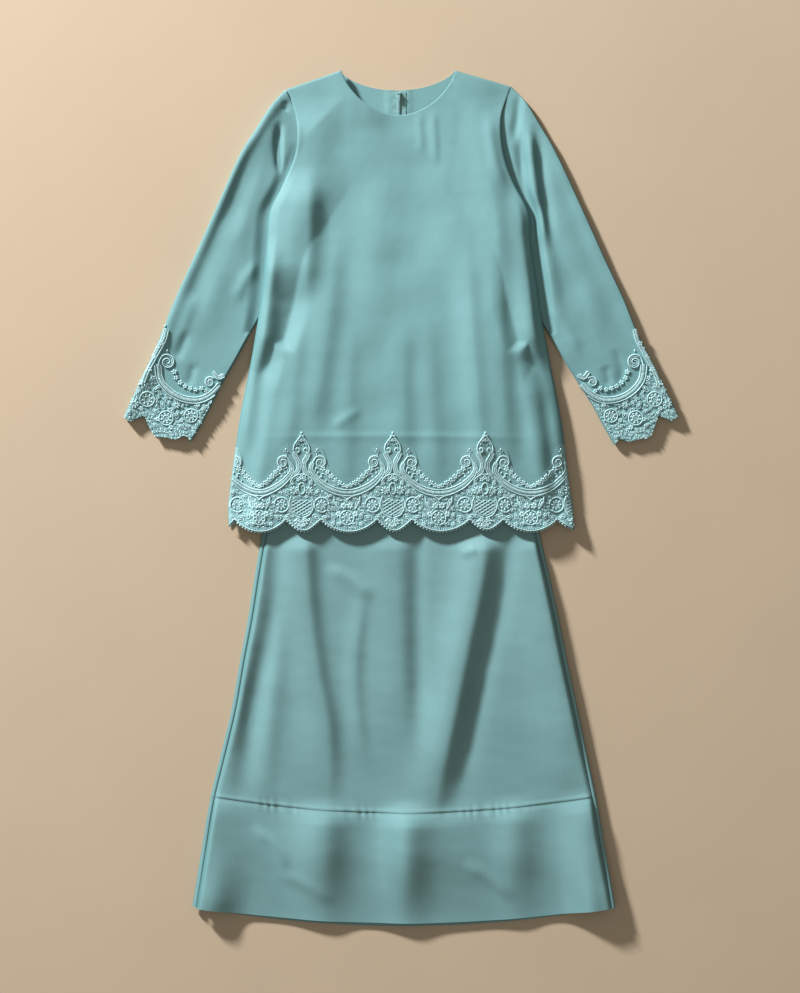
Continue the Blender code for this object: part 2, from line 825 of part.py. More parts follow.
def front_layer(top_y, bottom_y, shares, columns):
    """A front panel of the skirt between its side seams. top_y and bottom_y give y for an x."""
    points = []
    for share in shares:
        line = []
        for step in range(columns + 1):
            across = step / columns
            middle_y = top_y(0.0) + (bottom_y(0.0) - top_y(0.0)) * share
            left, right = skirt_edges(middle_y)
            x = left + SIDE_SEAM_INSET + SEAM_GAP
            x += (right - left - 2.0 * (SIDE_SEAM_INSET + SEAM_GAP)) * across
            y = top_y(x) + (bottom_y(x) - top_y(x)) * share
            left, right = skirt_edges(y)
            x = left + SIDE_SEAM_INSET + SEAM_GAP
            x += (right - left - 2.0 * (SIDE_SEAM_INSET + SEAM_GAP)) * across
            line.append((x, y, TUBE_HEIGHT + skirt_rise(x, y)))
        points.append(line)
    return points


def back_layer(top_y, bottom_y, shares, columns):
    """A back panel of the skirt, flat below and wrapped round both sides to the seams."""
    points = []
    half = 0.5 * TUBE_HEIGHT
    ends = [(height_at_edge(top_y, side), height_at_edge(bottom_y, side)) for side in (0, 1)]
    for share in shares:
        y_left = ends[0][0] + (ends[0][1] - ends[0][0]) * share
        y_right = ends[1][0] + (ends[1][1] - ends[1][0]) * share
        left = skirt_edges(y_left)[0]
        right = skirt_edges(y_right)[1]
        line = [
            (left + SIDE_SEAM_INSET, y_left, TUBE_HEIGHT),
            (left + EDGE_INSET, y_left, TUBE_HEIGHT),
            (left, y_left, half),
        ]
        for step in range(columns + 1):
            across = step / columns
            x = left + EDGE_INSET + (right - left - 2.0 * EDGE_INSET) * across
            y = top_y(x) + (bottom_y(x) - top_y(x)) * share
            line.append((x, y, 0.0))
        line += [
            (right, y_right, half),
            (right - EDGE_INSET, y_right, TUBE_HEIGHT),
            (right - SIDE_SEAM_INSET, y_right, TUBE_HEIGHT),
        ]
        points.append(line)
    return points


def build_skirt(group, satin):
    half_gap = 0.5 * SEAM_GAP
    panel_top = WAIST_Y - WAISTBAND_DEPTH - SEAM_GAP

    def waist(x):
        return panel_top

    def above_seam(x):
        return skirt_seam_y(x) + half_gap

    def below_seam(x):
        return skirt_seam_y(x) - half_gap

    def front_hem(x):
        return skirt_hem_y(x, FRONT_HEM_SAG)

    def back_hem(x):
        return skirt_hem_y(x, BACK_HEM_SAG)

    length = panel_top - above_seam(0.0)
    long_shares = [(panel_top - height) / length for height in SKIRT_ROWS] + [1.0]
    band_shares = (0.0, 0.33, 0.66, 1.0)
    fronts = (
        ("skirt_front", waist, above_seam, long_shares),
        ("skirt_band_front", below_seam, front_hem, band_shares),
    )
    for name, top_y, bottom_y, shares in fronts:
        points = front_layer(top_y, bottom_y, shares, FRONT_COLUMNS)
        surface = grid_mesh(name, facing(points, True))
        panel = add_object(name, surface, satin, group)
        thicken(panel, WALL, -WALL)
    backs = (
        ("skirt_back", waist, above_seam, long_shares),
        ("skirt_band_back", below_seam, back_hem, band_shares),
    )
    for name, top_y, bottom_y, shares in backs:
        points = back_layer(top_y, bottom_y, shares, BACK_COLUMNS)
        panel = add_object(name, grid_mesh(name, points), satin, group)
        thicken(panel, WALL, -WALL)

    build_waistband(group, satin)


def build_waistband(group, satin):
    """The elastic casing round the waist, a flattened ring."""
    rings = []
    half = 0.5 * TUBE_HEIGHT
    for share in (0.0, 0.5, 1.0):
        y = WAIST_Y - WAISTBAND_DEPTH * share
        left, right = skirt_edges(y)
        upper = []
        lower = []
        for step in range(WAISTBAND_COLUMNS + 1):
            x = left + EDGE_INSET + (right - left - 2.0 * EDGE_INSET) * step / WAISTBAND_COLUMNS
            arch = float(smooth(step / 3.0) * smooth((WAISTBAND_COLUMNS - step) / 3.0))
            upper.append((x, y, TUBE_HEIGHT + arch))
            lower.append((x, y, 0.0))
        rings.append([(left, y, half)] + upper + [(right, y, half)] + lower[::-1])
    surface = grid_mesh("waistband", rings[::-1], True)
    band = add_object("waistband", surface, satin, group)
    thicken(band, WALL, -WALL)


def box(name, size, centre, material, group, bevel=0.0):
    """A box by its size and centre, with rounded edges where a bevel is given."""
    mesh = bpy.data.meshes.new(name)
    body = bmesh.new()
    bmesh.ops.create_cube(body, size=1.0)
    bmesh.ops.scale(body, verts=body.verts[:], vec=[value * MM for value in size])
    bmesh.ops.translate(body, verts=body.verts[:], vec=[value * MM for value in centre])
    if bevel > 0.0:
        bmesh.ops.bevel(
            body,
            geom=body.edges[:],
            offset=bevel * MM,
            segments=2,
            affect="EDGES",
            profile=0.5,
        )
    body.to_mesh(mesh)
    body.free()
    return add_object(name, mesh, material, group)


def rod(name, radius, length, centre, group, sides=16):
    """A round bar along X."""
    mesh = bpy.data.meshes.new(name)
    body = bmesh.new()
    bmesh.ops.create_cone(
        body,
        cap_ends=True,
        segments=sides,
        radius1=radius * MM,
        radius2=radius * MM,
        depth=length * MM,
    )
    bmesh.ops.rotate(body, verts=body.verts[:], matrix=Matrix.Rotation(math.pi / 2.0, 3, "Y"))
    bmesh.ops.translate(body, verts=body.verts[:], vec=[value * MM for value in centre])
    body.to_mesh(mesh)
    body.free()
    made = add_object(name, mesh, None, group)
    hide_tool(made)
    return made


def unite(made, other):
    joining = made.modifiers.new("Join", "BOOLEAN")
    joining.operation = "UNION"
    joining.solver = "EXACT"
    joining.object = other


def build_zip(group, cutters, tape_look, enamel):
    tape_z = WALL + SEAM_GAP
    length = ZIP_TOP_Y - ZIP_BOTTOM_Y
    middle_y = 0.5 * (ZIP_TOP_Y + ZIP_BOTTOM_Y)
    for name, side in (("zip_tape_left", -1), ("zip_tape_right", 1)):
        x = CENTRE_BACK + side * 0.5 * (TAPE_WIDTH + SEAM_GAP)
        size = (TAPE_WIDTH, length, TAPE_WALL)
        box(name, size, (x, middle_y, tape_z + 0.5 * TAPE_WALL), tape_look, group)

    slider_z = tape_z + TAPE_WALL + SEAM_GAP
    slider_y = ZIP_TOP_Y - 0.5 * SLIDER_SIZE[1] - 0.5
    chain_top = slider_y - 0.5 * SLIDER_SIZE[1] - SEAM_GAP
    chain_size = (CHAIN_WIDTH, chain_top - ZIP_BOTTOM_Y, CHAIN_HEIGHT)
    chain_y = 0.5 * (chain_top + ZIP_BOTTOM_Y)
    chain_centre = (CENTRE_BACK, chain_y, slider_z + 0.5 * CHAIN_HEIGHT)
    box("zip_chain", chain_size, chain_centre, tape_look, group)

    slider_centre = (CENTRE_BACK, slider_y, slider_z + 0.5 * SLIDER_SIZE[2])
    slider = box("zip_slider", SLIDER_SIZE, slider_centre, enamel, group, 0.5)
    slider_top = slider_z + SLIDER_SIZE[2]
    lug_x = 0.5 * PULL_WIDTH + LUG_CLEARANCE + 0.5 * LUG_WIDTH
    lug_bottom = slider_top - LUG_SINK
    lug_height = PULL_AXIS_Z + LUG_ABOVE_PIN - lug_bottom
    for side in (-1, 1):
        centre = (CENTRE_BACK + side * lug_x, PULL_AXIS_Y, lug_bottom + 0.5 * lug_height)
        lug = box("slider_lug", (LUG_WIDTH, LUG_DEPTH, lug_height), centre, None, cutters, 0.2)
        hide_tool(lug)
        unite(slider, lug)
    pin_length = 2.0 * lug_x
    pin_centre = (CENTRE_BACK, PULL_AXIS_Y, PULL_AXIS_Z)
    unite(slider, rod("slider_pin", PIN_RADIUS, pin_length, pin_centre, cutters))

    pull_centre = (0.0, -0.5 * PULL_LENGTH, -0.05)
    pull_size = (PULL_WIDTH, PULL_LENGTH, PULL_THICKNESS)
    pull = box("zip_pull", pull_size, pull_centre, enamel, group, 0.25)
    pull.location = (CENTRE_BACK * MM, PULL_AXIS_Y * MM, PULL_AXIS_Z * MM)
    unite(pull, rod("pull_eye", EYE_RADIUS, PULL_WIDTH, pin_centre, cutters))
    cut(pull, rod("pull_bore", EYE_BORE, PULL_WIDTH + 2.0, pin_centre, cutters))


def nearest_station(x):
    return min(hem_stations(), key=lambda place: abs(place - x))


NECK_STATIONS = (nearest_station(-160.0), nearest_station(145.0))


def main():
    remove_scene_objects()
    group = make_collection("baju_kurung")
    cutters = make_collection("cutters")
    crepe = make_material("crepe", CREPE)
    satin = make_material("satin", SATIN)
    cord = make_material("corded_lace", CORD)
    tape_look = make_material("zip_tape", TAPE)
    enamel = make_material("painted_metal", ENAMEL)
    build_tunic(group, cutters, crepe, cord)
    build_sleeve("left", LEFT_SLEEVE_ROWS, LEFT_SLEEVE_FOLDS, -1, group, cutters, crepe, cord)
    build_sleeve("right", RIGHT_SLEEVE_ROWS, RIGHT_SLEEVE_FOLDS, 1, group, cutters, crepe, cord)
    build_skirt(group, satin)
    build_zip(group, cutters, tape_look, enamel)


main()
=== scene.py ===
"""Looks of the baju kurung: a crepe tunic with corded lace, laid flat over its satin skirt."""

import math

import bmesh
import bpy
import numpy as np
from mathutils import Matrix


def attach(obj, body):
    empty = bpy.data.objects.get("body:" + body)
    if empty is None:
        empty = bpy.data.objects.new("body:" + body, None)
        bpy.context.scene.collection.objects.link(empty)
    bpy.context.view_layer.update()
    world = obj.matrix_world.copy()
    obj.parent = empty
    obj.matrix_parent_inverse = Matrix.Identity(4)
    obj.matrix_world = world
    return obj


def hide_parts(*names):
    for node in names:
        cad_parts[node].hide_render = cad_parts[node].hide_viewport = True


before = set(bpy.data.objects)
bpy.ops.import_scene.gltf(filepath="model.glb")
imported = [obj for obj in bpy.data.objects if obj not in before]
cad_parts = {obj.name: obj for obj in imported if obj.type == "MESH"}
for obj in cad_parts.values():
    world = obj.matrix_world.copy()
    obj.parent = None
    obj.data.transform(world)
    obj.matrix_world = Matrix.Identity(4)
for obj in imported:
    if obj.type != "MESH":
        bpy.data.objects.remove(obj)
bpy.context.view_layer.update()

MM = 0.001

# How the pieces lie on each other, in millimetres
CLOTH = 0.8
SKIRT_TUBE = 4.0
SLEEVE_TUBE = 4.0
EDGE_ROLL_LEFT = 3.4
EDGE_ROLL_RIGHT = 1.2
HIDDEN_SKIRT_RISE = 4.0
LACE_ROOM = 1.3
BACK_WALL = 1.2
FRONT_LIE = 0.45
SIDE_ROUND = 4.0
SEAM_GAP = 0.3
SLEEVE_RAMP = 30.0
FRONT_SLEEVE_RAMP = 75.0
SKIRT_RISE_RAMP = 50.0
SKIRT_RISE_INSET = 45.0
SKIRT_RISE_LENGTH = 300.0
SEWN_SHARE = 0.6
ARMHOLE_END_Y = 560.0

# Tilt of the cloth, in degrees, at which the shade painted on its folds and turned edges starts and is deepest
STEEP_FROM = 13.0
STEEP_TO = 48.0

# Tunic
HEM_LEFT = -292.0
HEM_RIGHT = 294.0
HEM_Y = -54.0
TOP_Y = 696.0
NECK_LEFT = -101.0
NECK_RIGHT = 92.0
NECK_TOP_Y = 726.0
NECK_STATIONS = (-164.5, 145.5)
FRONT_NECK_DROP = 76.0
BACK_NECK_DROP = 33.0
NECK_ROUNDNESS = 0.72
SHOULDER_LEFT = (-195.0, 694.0)
SHOULDER_RIGHT = (186.0, 699.0)
CENTRE_BACK = -4.0
NOTCH_Y = -37.0
BODY_PUFF = 5.0
NECK_STAND = 4.0
SIDE_ROLL_LEFT = 1.6
SIDE_ROLL_RIGHT = 4.6
ARMHOLE_GAP = 0.4

# Skirt
WAIST_Y = 232.0
WAISTBAND_DEPTH = 30.0
BAND_SEAM_Y = -506.0
BAND_SEAM_SAG = 28.0
SKIRT_HEM_Y = -693.0
FRONT_HEM_SAG = 28.0
BACK_HEM_SAG = 34.0
SIDE_SEAM_INSET = 7.5
HIDDEN_FROM_Y = -90.0
HIDDEN_RAMP = 34.0
SKIRT_PUFF = 3.4
LEFT_CORNER_LIFT = 6.0
RIGHT_CORNER_LIFT = 6.5
RIGHT_SIDE_LIFT = 4.5
HEM_CALM = 0.65
HEM_CALM_REACH = 130.0

# Zip
ZIP_TOP_Y = 690.0
ZIP_BOTTOM_Y = 312.0
CHAIN_TOP_Y = 678.2
TAPE_WIDTH = 12.0
TAPE_TOP = 2.5
COIL_PITCH = 1.5

# Tunic rows: height, left edge, right edge
BODY_ROWS = (
    (-54, -292, 294),
    (-20, -293, 292),
    (20, -289, 286),
    (60, -284, 281),
    (95, -279, 277),
    (125, -275, 273),
    (175, -266, 264),
    (235, -254, 252),
    (305, -242, 238),
    (370, -233, 229),
    (439, -227, 219),
    (487, -222, 216),
    (531, -201, 193),
    (590, -178, 173),
    (645, -178, 170),
    (696, -195, 186),
)

# Scallops of the tunic's hem: left notch, right notch, height of the lobe's lowest point
HEM_LOBES = (
    (-318, -281, -52),
    (-281, -195, -58),
    (-195, -134, -56),
    (-134, -41, -58),
    (-41, 20, -56),
    (20, 116, -57),
    (116, 175, -54),
    (175, 264, -57),
    (264, 330, -53),
)

# Sleeve rows from armhole to cuff: outer edge x, y, inner edge x, y
LEFT_SLEEVE_ROWS = (
    (-196.4, 694, -168, 520),
    (-222, 665, -180, 478),
    (-248, 624, -192, 436),
    (-274, 582, -204, 398),
    (-312, 497, -220, 350),
    (-348, 417, -242, 305),
    (-384, 337, -262, 268),
    (-405, 283, -284, 228),
    (-424, 238, -304, 193),
    (-441, 203, -322, 157),
    (-457, 168, -339, 125),
    (-471, 138, -356, 96),
)
RIGHT_SLEEVE_ROWS = (
    (187.4, 699, 164, 520),
    (212, 673, 176, 478),
    (238, 631, 188, 436),
    (264, 586, 200, 398),
    (308, 492, 214, 348),
    (346, 408, 238, 301),
    (379, 337, 262, 260),
    (401, 282, 285, 220),
    (424, 237, 308, 184),
    (442, 201, 325, 157),
    (457, 170, 343, 124),
    (471, 140, 362, 90),
)

# Scallops of a cuff: share across from the outer edge, how far the hem moves up the arm
CUFF_SCALLOPS = (
    (0.0, 0.0),
    (0.12, -2.0),
    (0.25, 13.0),
    (0.36, 2.0),
    (0.5, -11.0),
    (0.65, -8.0),
    (0.8, -4.0),
    (0.9, 6.0),
    (1.0, 0.0),
)

# Edges of the skirt from waist to hem: height, left edge, right edge
SKIRT_EDGES = (
    (232, -184, 184),
    (160, -200, 198),
    (80, -214, 212),
    (0, -226, 225),
    (-65, -237, 237),
    (-130, -248, 252),
    (-200, -259, 267),
    (-280, -274, 283),
    (-360, -288, 300),
    (-440, -307, 317),
    (-506, -323, 331),
    (-600, -339, 347),
    (-693, -354, 363),
    (-730, -360, 369),
)

# Creases: kind, height, width on its left, width on its right, then its points x, y.
# Left and right are as seen by someone who walks from the first point to the last.
# A ridge or trough is one swell; a step is low on the left and high on the right;
# a fold is a ridge that starts at once and fades out slowly.
TUNIC_CREASES = (
    ("ridge", 9.0, 22, 80, (-157, 562), (-158, 490), (-158, 440), (-161, 390), (-168, 330)),
    ("ridge", 9.0, 22, 16, (-222, 446), (-226, 385), (-229, 330), (-232, 268), (-237, 212)),
    ("ridge", 3.8, 20, 32, (-108, 470), (-115, 400), (-124, 300), (-138, 200), (-154, 80)),
    ("ridge", 2.0, 14, 20, (-168, 330), (-176, 250), (-186, 150), (-196, 50)),
    ("ridge", 3.8, 15, 12, (-244, 300), (-249, 230), (-256, 150), (-265, 50)),
    ("ridge", 1.8, 16, 22, (-84, 300), (-90, 160), (-98, -10)),
    ("ridge", 6.6, 22, 50, (136, 640), (158, 480), (164, 330), (170, 180), (186, 0)),
    ("ridge", 3.2, 16, 24, (106, 460), (122, 250), (132, 110), (144, -40)),
    ("ridge", 2.2, 16, 30, (0, 330), (3, 220), (4, 120), (4, 20)),
    ("ridge", 2.2, 17, 22, (44, 300), (54, 130), (62, -10)),
    ("ridge", 5.0, 20, 26, (206, 380), (220, 260), (232, 130), (248, -20)),
    ("ridge", 7.0, 16, 30, (194, 540), (205, 430), (216, 340), (229, 230)),
    ("ridge", 2.4, 36, 36, (-40, 560), (-44, 420), (-38, 250)),
    ("fold", 1.8, 7, 22, (-180, 634), (-176, 616), (-180, 584)),
    ("ridge", 0.7, 4, 7, (-262, 104), (-60, 106), (245, 103)),
    ("ridge", 0.8, 6, 8, (30, 660), (36, 580)),
    ("ridge", 1.0, 6, 9, (54, 664), (60, 560)),
    ("ridge", 2.4, 42, 42, (84, 690), (90, 520), (82, 320)),
    ("ridge", 1.8, 14, 10, (146, 660), (163, 560), (180, 506)),
    ("ridge", 1.2, 8, 9, (-116, 118), (-92, 136), (-66, 152)),
)
SKIRT_CREASES = (
    ("step", 3.8, 17, 17, (-222, 90), (-224, -60), (-228, -173), (-243, -258), (-262, -343),
     (-276, -440), (-284, -540)),
    ("ridge", 7.0, 18, 44, (-168, 90), (-164, -60), (-158, -173), (-142, -300), (-126, -385),
     (-122, -470), (-126, -560)),
    ("ridge", 4.6, 32, 50, (-14, 90), (-6, -200), (-2, -330), (6, -470)),
    ("ridge", -2.6, 16, 16, (32, 90), (26, -200), (28, -320), (28, -460)),
    ("ridge", 11.0, 23, 42, (148, 80), (134, -130), (110, -250), (84, -380), (62, -490), (46, -600)),
    ("ridge", -2.2, 18, 13, (192, 80), (172, -170), (140, -300), (116, -420), (92, -540)),
    ("ridge", 6.0, 30, 46, (218, 60), (244, -220), (274, -400), (298, -560)),
    ("ridge", 3.0, 20, 24, (-206, 20), (-214, -260), (-226, -420), (-238, -560)),
    ("ridge", 2.2, 10, 14, (-129, -114), (-92, -134), (-44, -172)),
    ("ridge", 1.4, 7, 8, (100, -96), (129, -84)),
    ("ridge", 2.4, 12, 18, (-62, -140), (-78, -300), (-62, -460)),
)
BAND_CREASES = (
    ("ridge", 6.0, 50, 16, (-330, -460), (-334, -620), (-340, -760)),
    ("ridge", 13.0, 38, 46, (-134, -440), (-132, -600), (-138, -900)),
    ("ridge", 9.0, 34, 36, (8, -440), (10, -600), (8, -900)),
    ("ridge", 8.0, 130, 42, (14, -440), (16, -600), (14, -900)),
    ("ridge", 7.5, 36, 34, (190, -440), (194, -600), (202, -900)),
    ("ridge", 9.0, 28, 40, (304, -440), (312, -600), (326, -900)),
    ("ridge", 2.4, 12, 11, (104, -616), (150, -646), (194, -684)),
    ("ridge", 2.2, 11, 11, (-216, -630), (-160, -656), (-110, -690)),
    ("ridge", 2.0, 11, 12, (-256, -556), (-214, -590), (-190, -640)),
)
LEFT_SLEEVE_CREASES = (
    ("ridge", 2.8, 18, 22, (-214, 690), (-224, 630), (-240, 560), (-266, 480), (-292, 390)),
    ("ridge", -4.2, 6, 7, (-204, 644), (-208, 600), (-204, 540)),
    ("step", 1.6, 18, 18, (-228, 640), (-250, 580), (-280, 520), (-310, 450)),
    ("ridge", -1.6, 6, 6, (-194, 676), (-196, 655)),
    ("ridge", 2.2, 12, 16, (-348, 350), (-368, 300), (-388, 246)),
    ("ridge", -1.4, 8, 8, (-360, 286), (-382, 231)),
    ("ridge", -1.4, 7, 7, (-349, 230), (-362, 188)),
    ("ridge", 1.6, 22, 22, (-290, 430), (-326, 330), (-358, 250)),
    ("ridge", 1.6, 10, 10, (-232, 404), (-258, 380), (-284, 330)),
)
RIGHT_SLEEVE_CREASES = (
    ("ridge", -2.6, 8, 9, (200, 694), (198, 655), (190, 600)),
    ("ridge", -3.4, 10, 10, (202, 626), (206, 540), (214, 470), (228, 410)),
    ("ridge", 5.0, 11, 11, (214, 650), (222, 560), (230, 500), (246, 420)),
    ("ridge", -3.0, 11, 8, (228, 640), (240, 540), (258, 412)),
    ("ridge", 2.4, 20, 20, (262, 480), (296, 400), (324, 330), (352, 256)),
    ("ridge", -1.6, 8, 8, (361, 256), (374, 218), (371, 186)),
    ("ridge", -1.4, 7, 7, (346, 226), (354, 188)),
    ("ridge", 3.6, 13, 12, (236, 500), (250, 400), (268, 300)),
    ("ridge", 1.4, 10, 10, (250, 330), (286, 280), (304, 244)),
)

# Puckers where the satin is eased into its band: middle x, half width, height
BAND_PUCKERS = (
    (-212, 34, 0.9),
    (-68, 28, 0.8),
    (146, 54, 0.9),
)

# Lace: heights of its upper edge by the distance from a peak's middle
LACE_EDGE = (
    (0, 113),
    (6, 103),
    (12, 92),
    (27, 90),
    (40, 73),
    (44, 58),
    (52, 46),
    (64, 33),
    (78, 22),
)
LACE_PEAKS = (-311.0, -168.0, -14.0, 142.0, 297.0)

# Pitch of the small motifs that fill the lace
FILLER_FRONT = 6.6
FILLER_BACK = 8.5

# Colours, linear
CREPE = (0.207, 0.434, 0.466)
# Painted shade for the crepe's steep fold sides and turned edges
CREPE_FOLD_SHADE = (0.080, 0.220, 0.240)
SATIN = (0.214, 0.422, 0.455)
# Painted shade for the satin's steep fold sides and turned edges
SATIN_FOLD_SHADE = (0.080, 0.220, 0.235)
CORD = (0.490, 0.770, 0.820)
NET = (0.220, 0.430, 0.465)
TAPE = (0.200, 0.420, 0.430)
COIL = (0.330, 0.580, 0.600)
ENAMEL = (0.270, 0.480, 0.500)
FLOOR = (0.640, 0.520, 0.385)


def smooth(value):
    share = np.clip(value, 0.0, 1.0)
    return share * share * (3.0 - 2.0 * share)


def rounded(distance, radius):
    """From 0 at an edge to 1 a radius away, along a quarter of a circle."""
    share = 1.0 - np.clip(distance / radius, 0.0, 1.0)
    return np.sqrt(1.0 - share * share)


def spline(table, at, key=0, result=1):
    """A smooth curve through a table's rows, read at many places."""
    keys = np.array([row[key] for row in table], float)
    values = np.array([row[result] for row in table], float)
    if keys[0] > keys[-1]:
        keys = keys[::-1]
        values = values[::-1]
    slopes = np.gradient(values, keys)
    place = np.clip(at, keys[0], keys[-1])
    index = np.clip(np.searchsorted(keys, place, side="right") - 1, 0, len(keys) - 2)
    width = keys[index + 1] - keys[index]
    t = (place - keys[index]) / width
    start = (1.0 + 2.0 * t) * (1.0 - t) ** 2 * values[index]
    start_slope = t * (1.0 - t) ** 2 * width * slopes[index]
    end = t * t * (3.0 - 2.0 * t) * values[index + 1]
    end_slope = t * t * (t - 1.0) * width * slopes[index + 1]
    return start + start_slope + end + end_slope


def smooth_path(points, steps=6):
    """A soft curve through a few points, for creases and cords."""
    points = np.array(points, float)
    if len(points) == 2:
        return points
    spans = np.linalg.norm(np.diff(points, axis=0), axis=1)
    keys = np.concatenate(([0.0], np.cumsum(spans)))
    at = np.linspace(0.0, keys[-1], steps * (len(points) - 1) + 1)
    table = [(keys[row],) + tuple(points[row]) for row in range(len(points))]
    return np.column_stack([spline(table, at, 0, axis + 1) for axis in range(points.shape[1])])


def side_distance(x, y, path):
    """Signed distance to a path, above 0 on its left, and the share of its length there."""
    best = np.full(x.shape, 1e9)
    side = np.ones(x.shape)
    share = np.zeros(x.shape)
    spans = np.linalg.norm(np.diff(path, axis=0), axis=1)
    total = spans.sum()
    passed = 0.0
    for start, end, length in zip(path, path[1:], spans):
        dx, dy = (end - start) / length
        step = np.clip((x - start[0]) * dx + (y - start[1]) * dy, 0.0, length)
        gap_x = x - start[0] - dx * step
        gap_y = y - start[1] - dy * step
        gap = np.hypot(gap_x, gap_y)
        nearer = gap < best
        best = np.where(nearer, gap, best)
        side = np.where(nearer, np.where(dx * gap_y - dy * gap_x >= 0.0, 1.0, -1.0), side)
        share = np.where(nearer, (passed + step) / total, share)
        passed += length
    return best * side, share


def crease_height(x, y, creases):
    """Soft ridges, troughs and steps that fade out at both ends."""
    height = np.zeros(x.shape)
    for kind, rise, left_width, right_width, *points in creases:
        away, share = side_distance(x, y, smooth_path(points))
        width = np.where(away > 0.0, left_width, right_width)
        onset = 5.5 if kind == "fold" else 3.2
        fade = smooth(share * onset + 0.06) * smooth((1.0 - share) * 3.2 + 0.06)
        reach = away / width
        if kind == "step":
            shape = -reach * np.exp(0.5 - 0.5 * reach * reach)
        else:
            shape = np.exp(-reach * reach)
        height += rise * fade * shape
    return height


def soft_noise(x, y, seed, size, count=14):
    """Gentle unevenness, the same each run."""
    chance = np.random.default_rng(seed)
    total = np.zeros(x.shape)
    for _ in range(count):
        turn = chance.uniform(0.0, math.pi)
        wave = size * chance.uniform(0.6, 1.6)
        phase = chance.uniform(0.0, 2.0 * math.pi)
        total += np.cos(2.0 * math.pi * (x * math.cos(turn) + y * math.sin(turn)) / wave + phase)
    return total / math.sqrt(count)


def hem_height(x):
    height = np.full(np.shape(x), NOTCH_Y)
    for left, right, lowest in HEM_LOBES:
        share = np.clip((x - left) / (right - left), 0.0, 1.0)
        point = 0.75 if right - left > 70 else 1.15
        lobe = NOTCH_Y + (lowest - NOTCH_Y) * np.sin(math.pi * share) ** point
        height = np.where((x >= left) & (x <= right), lobe, height)
    return height


def shoulder_height(x):
    return np.interp(
        x,
        (SHOULDER_LEFT[0], NECK_LEFT, NECK_RIGHT, SHOULDER_RIGHT[0]),
        (SHOULDER_LEFT[1], NECK_TOP_Y, NECK_TOP_Y, SHOULDER_RIGHT[1]),
    )


def neck_drop(x, depth):
    middle = 0.5 * (NECK_LEFT + NECK_RIGHT)
    share = np.clip(np.abs(x - middle) / (0.5 * (NECK_RIGHT - NECK_LEFT)), 0.0, 1.0)
    return depth * (1.0 - share * share) ** NECK_ROUNDNESS


def neck_path(depth):
    share = np.linspace(-1.0, 1.0, 61)
    x = 0.5 * (NECK_LEFT + NECK_RIGHT) + 0.5 * (NECK_RIGHT - NECK_LEFT) * np.sin(0.5 * math.pi * share)
    return np.column_stack((x, NECK_TOP_Y - neck_drop(x, depth)))


def body_edges(y):
    return spline(BODY_ROWS, y, 0, 1), spline(BODY_ROWS, y, 0, 2)


def skirt_edges(y):
    return spline(SKIRT_EDGES, y, 0, 1), spline(SKIRT_EDGES, y, 0, 2)


def body_plan(station, height, drop):
    """Plan of a tunic panel: places along the hem, each followed up to a height."""
    rows = [row[0] for row in BODY_ROWS]
    rise = np.interp(height, rows, np.linspace(0.0, 1.0, len(rows)))
    up = (height - HEM_Y) / (TOP_Y - HEM_Y)
    top_x = np.interp(
        station,
        (HEM_LEFT, NECK_STATIONS[0], NECK_STATIONS[1], HEM_RIGHT),
        (SHOULDER_LEFT[0], NECK_LEFT, NECK_RIGHT, SHOULDER_RIGHT[0]),
    )
    hem_share = (station - HEM_LEFT) / (HEM_RIGHT - HEM_LEFT)
    top_share = (top_x - SHOULDER_LEFT[0]) / (SHOULDER_RIGHT[0] - SHOULDER_LEFT[0])
    left, right = body_edges(height)
    x = left + (right - left) * (hem_share + (top_share - hem_share) * up)
    y = height + (1.0 - rise) ** 3 * (hem_height(station) - HEM_Y)
    y = y + up ** 3 * (shoulder_height(top_x) - TOP_Y) - up ** 6 * neck_drop(top_x, drop)
    return x, y


def tunic_floor(x, y, ramp=SLEEVE_RAMP):
    """Height of the underside of the tunic's back, over the skirt, the sleeves and the lace."""
    left, right = skirt_edges(y)
    beyond = np.maximum(np.maximum(left - x, x - right), np.maximum(y - WAIST_Y, 0.0))
    over_skirt = SKIRT_TUBE + HIDDEN_SKIRT_RISE + SEAM_GAP + LACE_ROOM
    floor = over_skirt * (1.0 - smooth((beyond - 12.0) / 35.0))
    for rows, side in ((LEFT_SLEEVE_ROWS, -1), (RIGHT_SLEEVE_ROWS, 1)):
        inner_y = [600.0] + [row[3] for row in rows[:6]]
        inner_x = [side * 176.0] + [row[2] for row in rows[:6]]
        edge = np.interp(y, inner_y[::-1], inner_x[::-1])
        beyond = np.maximum(np.maximum(side * (edge - x), y - 600.0), np.maximum(288.0 - y, 0.0))
        floor = np.maximum(floor, (SLEEVE_TUBE + 0.6) * (1.0 - smooth((beyond - 10.0) / ramp)))
    return np.maximum(floor, LACE_ROOM * (1.0 - smooth((y - 122.0) / 30.0)))


def front_floor(x, y):
    """What the front lies over: the back, with its rise over the waist drawn out as taut cloth has it."""
    left, right = skirt_edges(y)
    beside_skirt = np.maximum(left - x, x - right) + SKIRT_RISE_INSET * smooth((y - WAIST_Y + 60.0) / 160.0)
    rise = SKIRT_TUBE + HIDDEN_SKIRT_RISE + SEAM_GAP + LACE_ROOM
    rise = rise * (1.0 - smooth((beside_skirt - 12.0) / SKIRT_RISE_RAMP))
    rise = rise * (1.0 - smooth((y - WAIST_Y - 8.0) / SKIRT_RISE_LENGTH))
    rise = np.maximum(rise, LACE_ROOM * (1.0 - smooth((y - 122.0) / 120.0)))
    return np.maximum(rise, tunic_floor(x, y, FRONT_SLEEVE_RAMP))


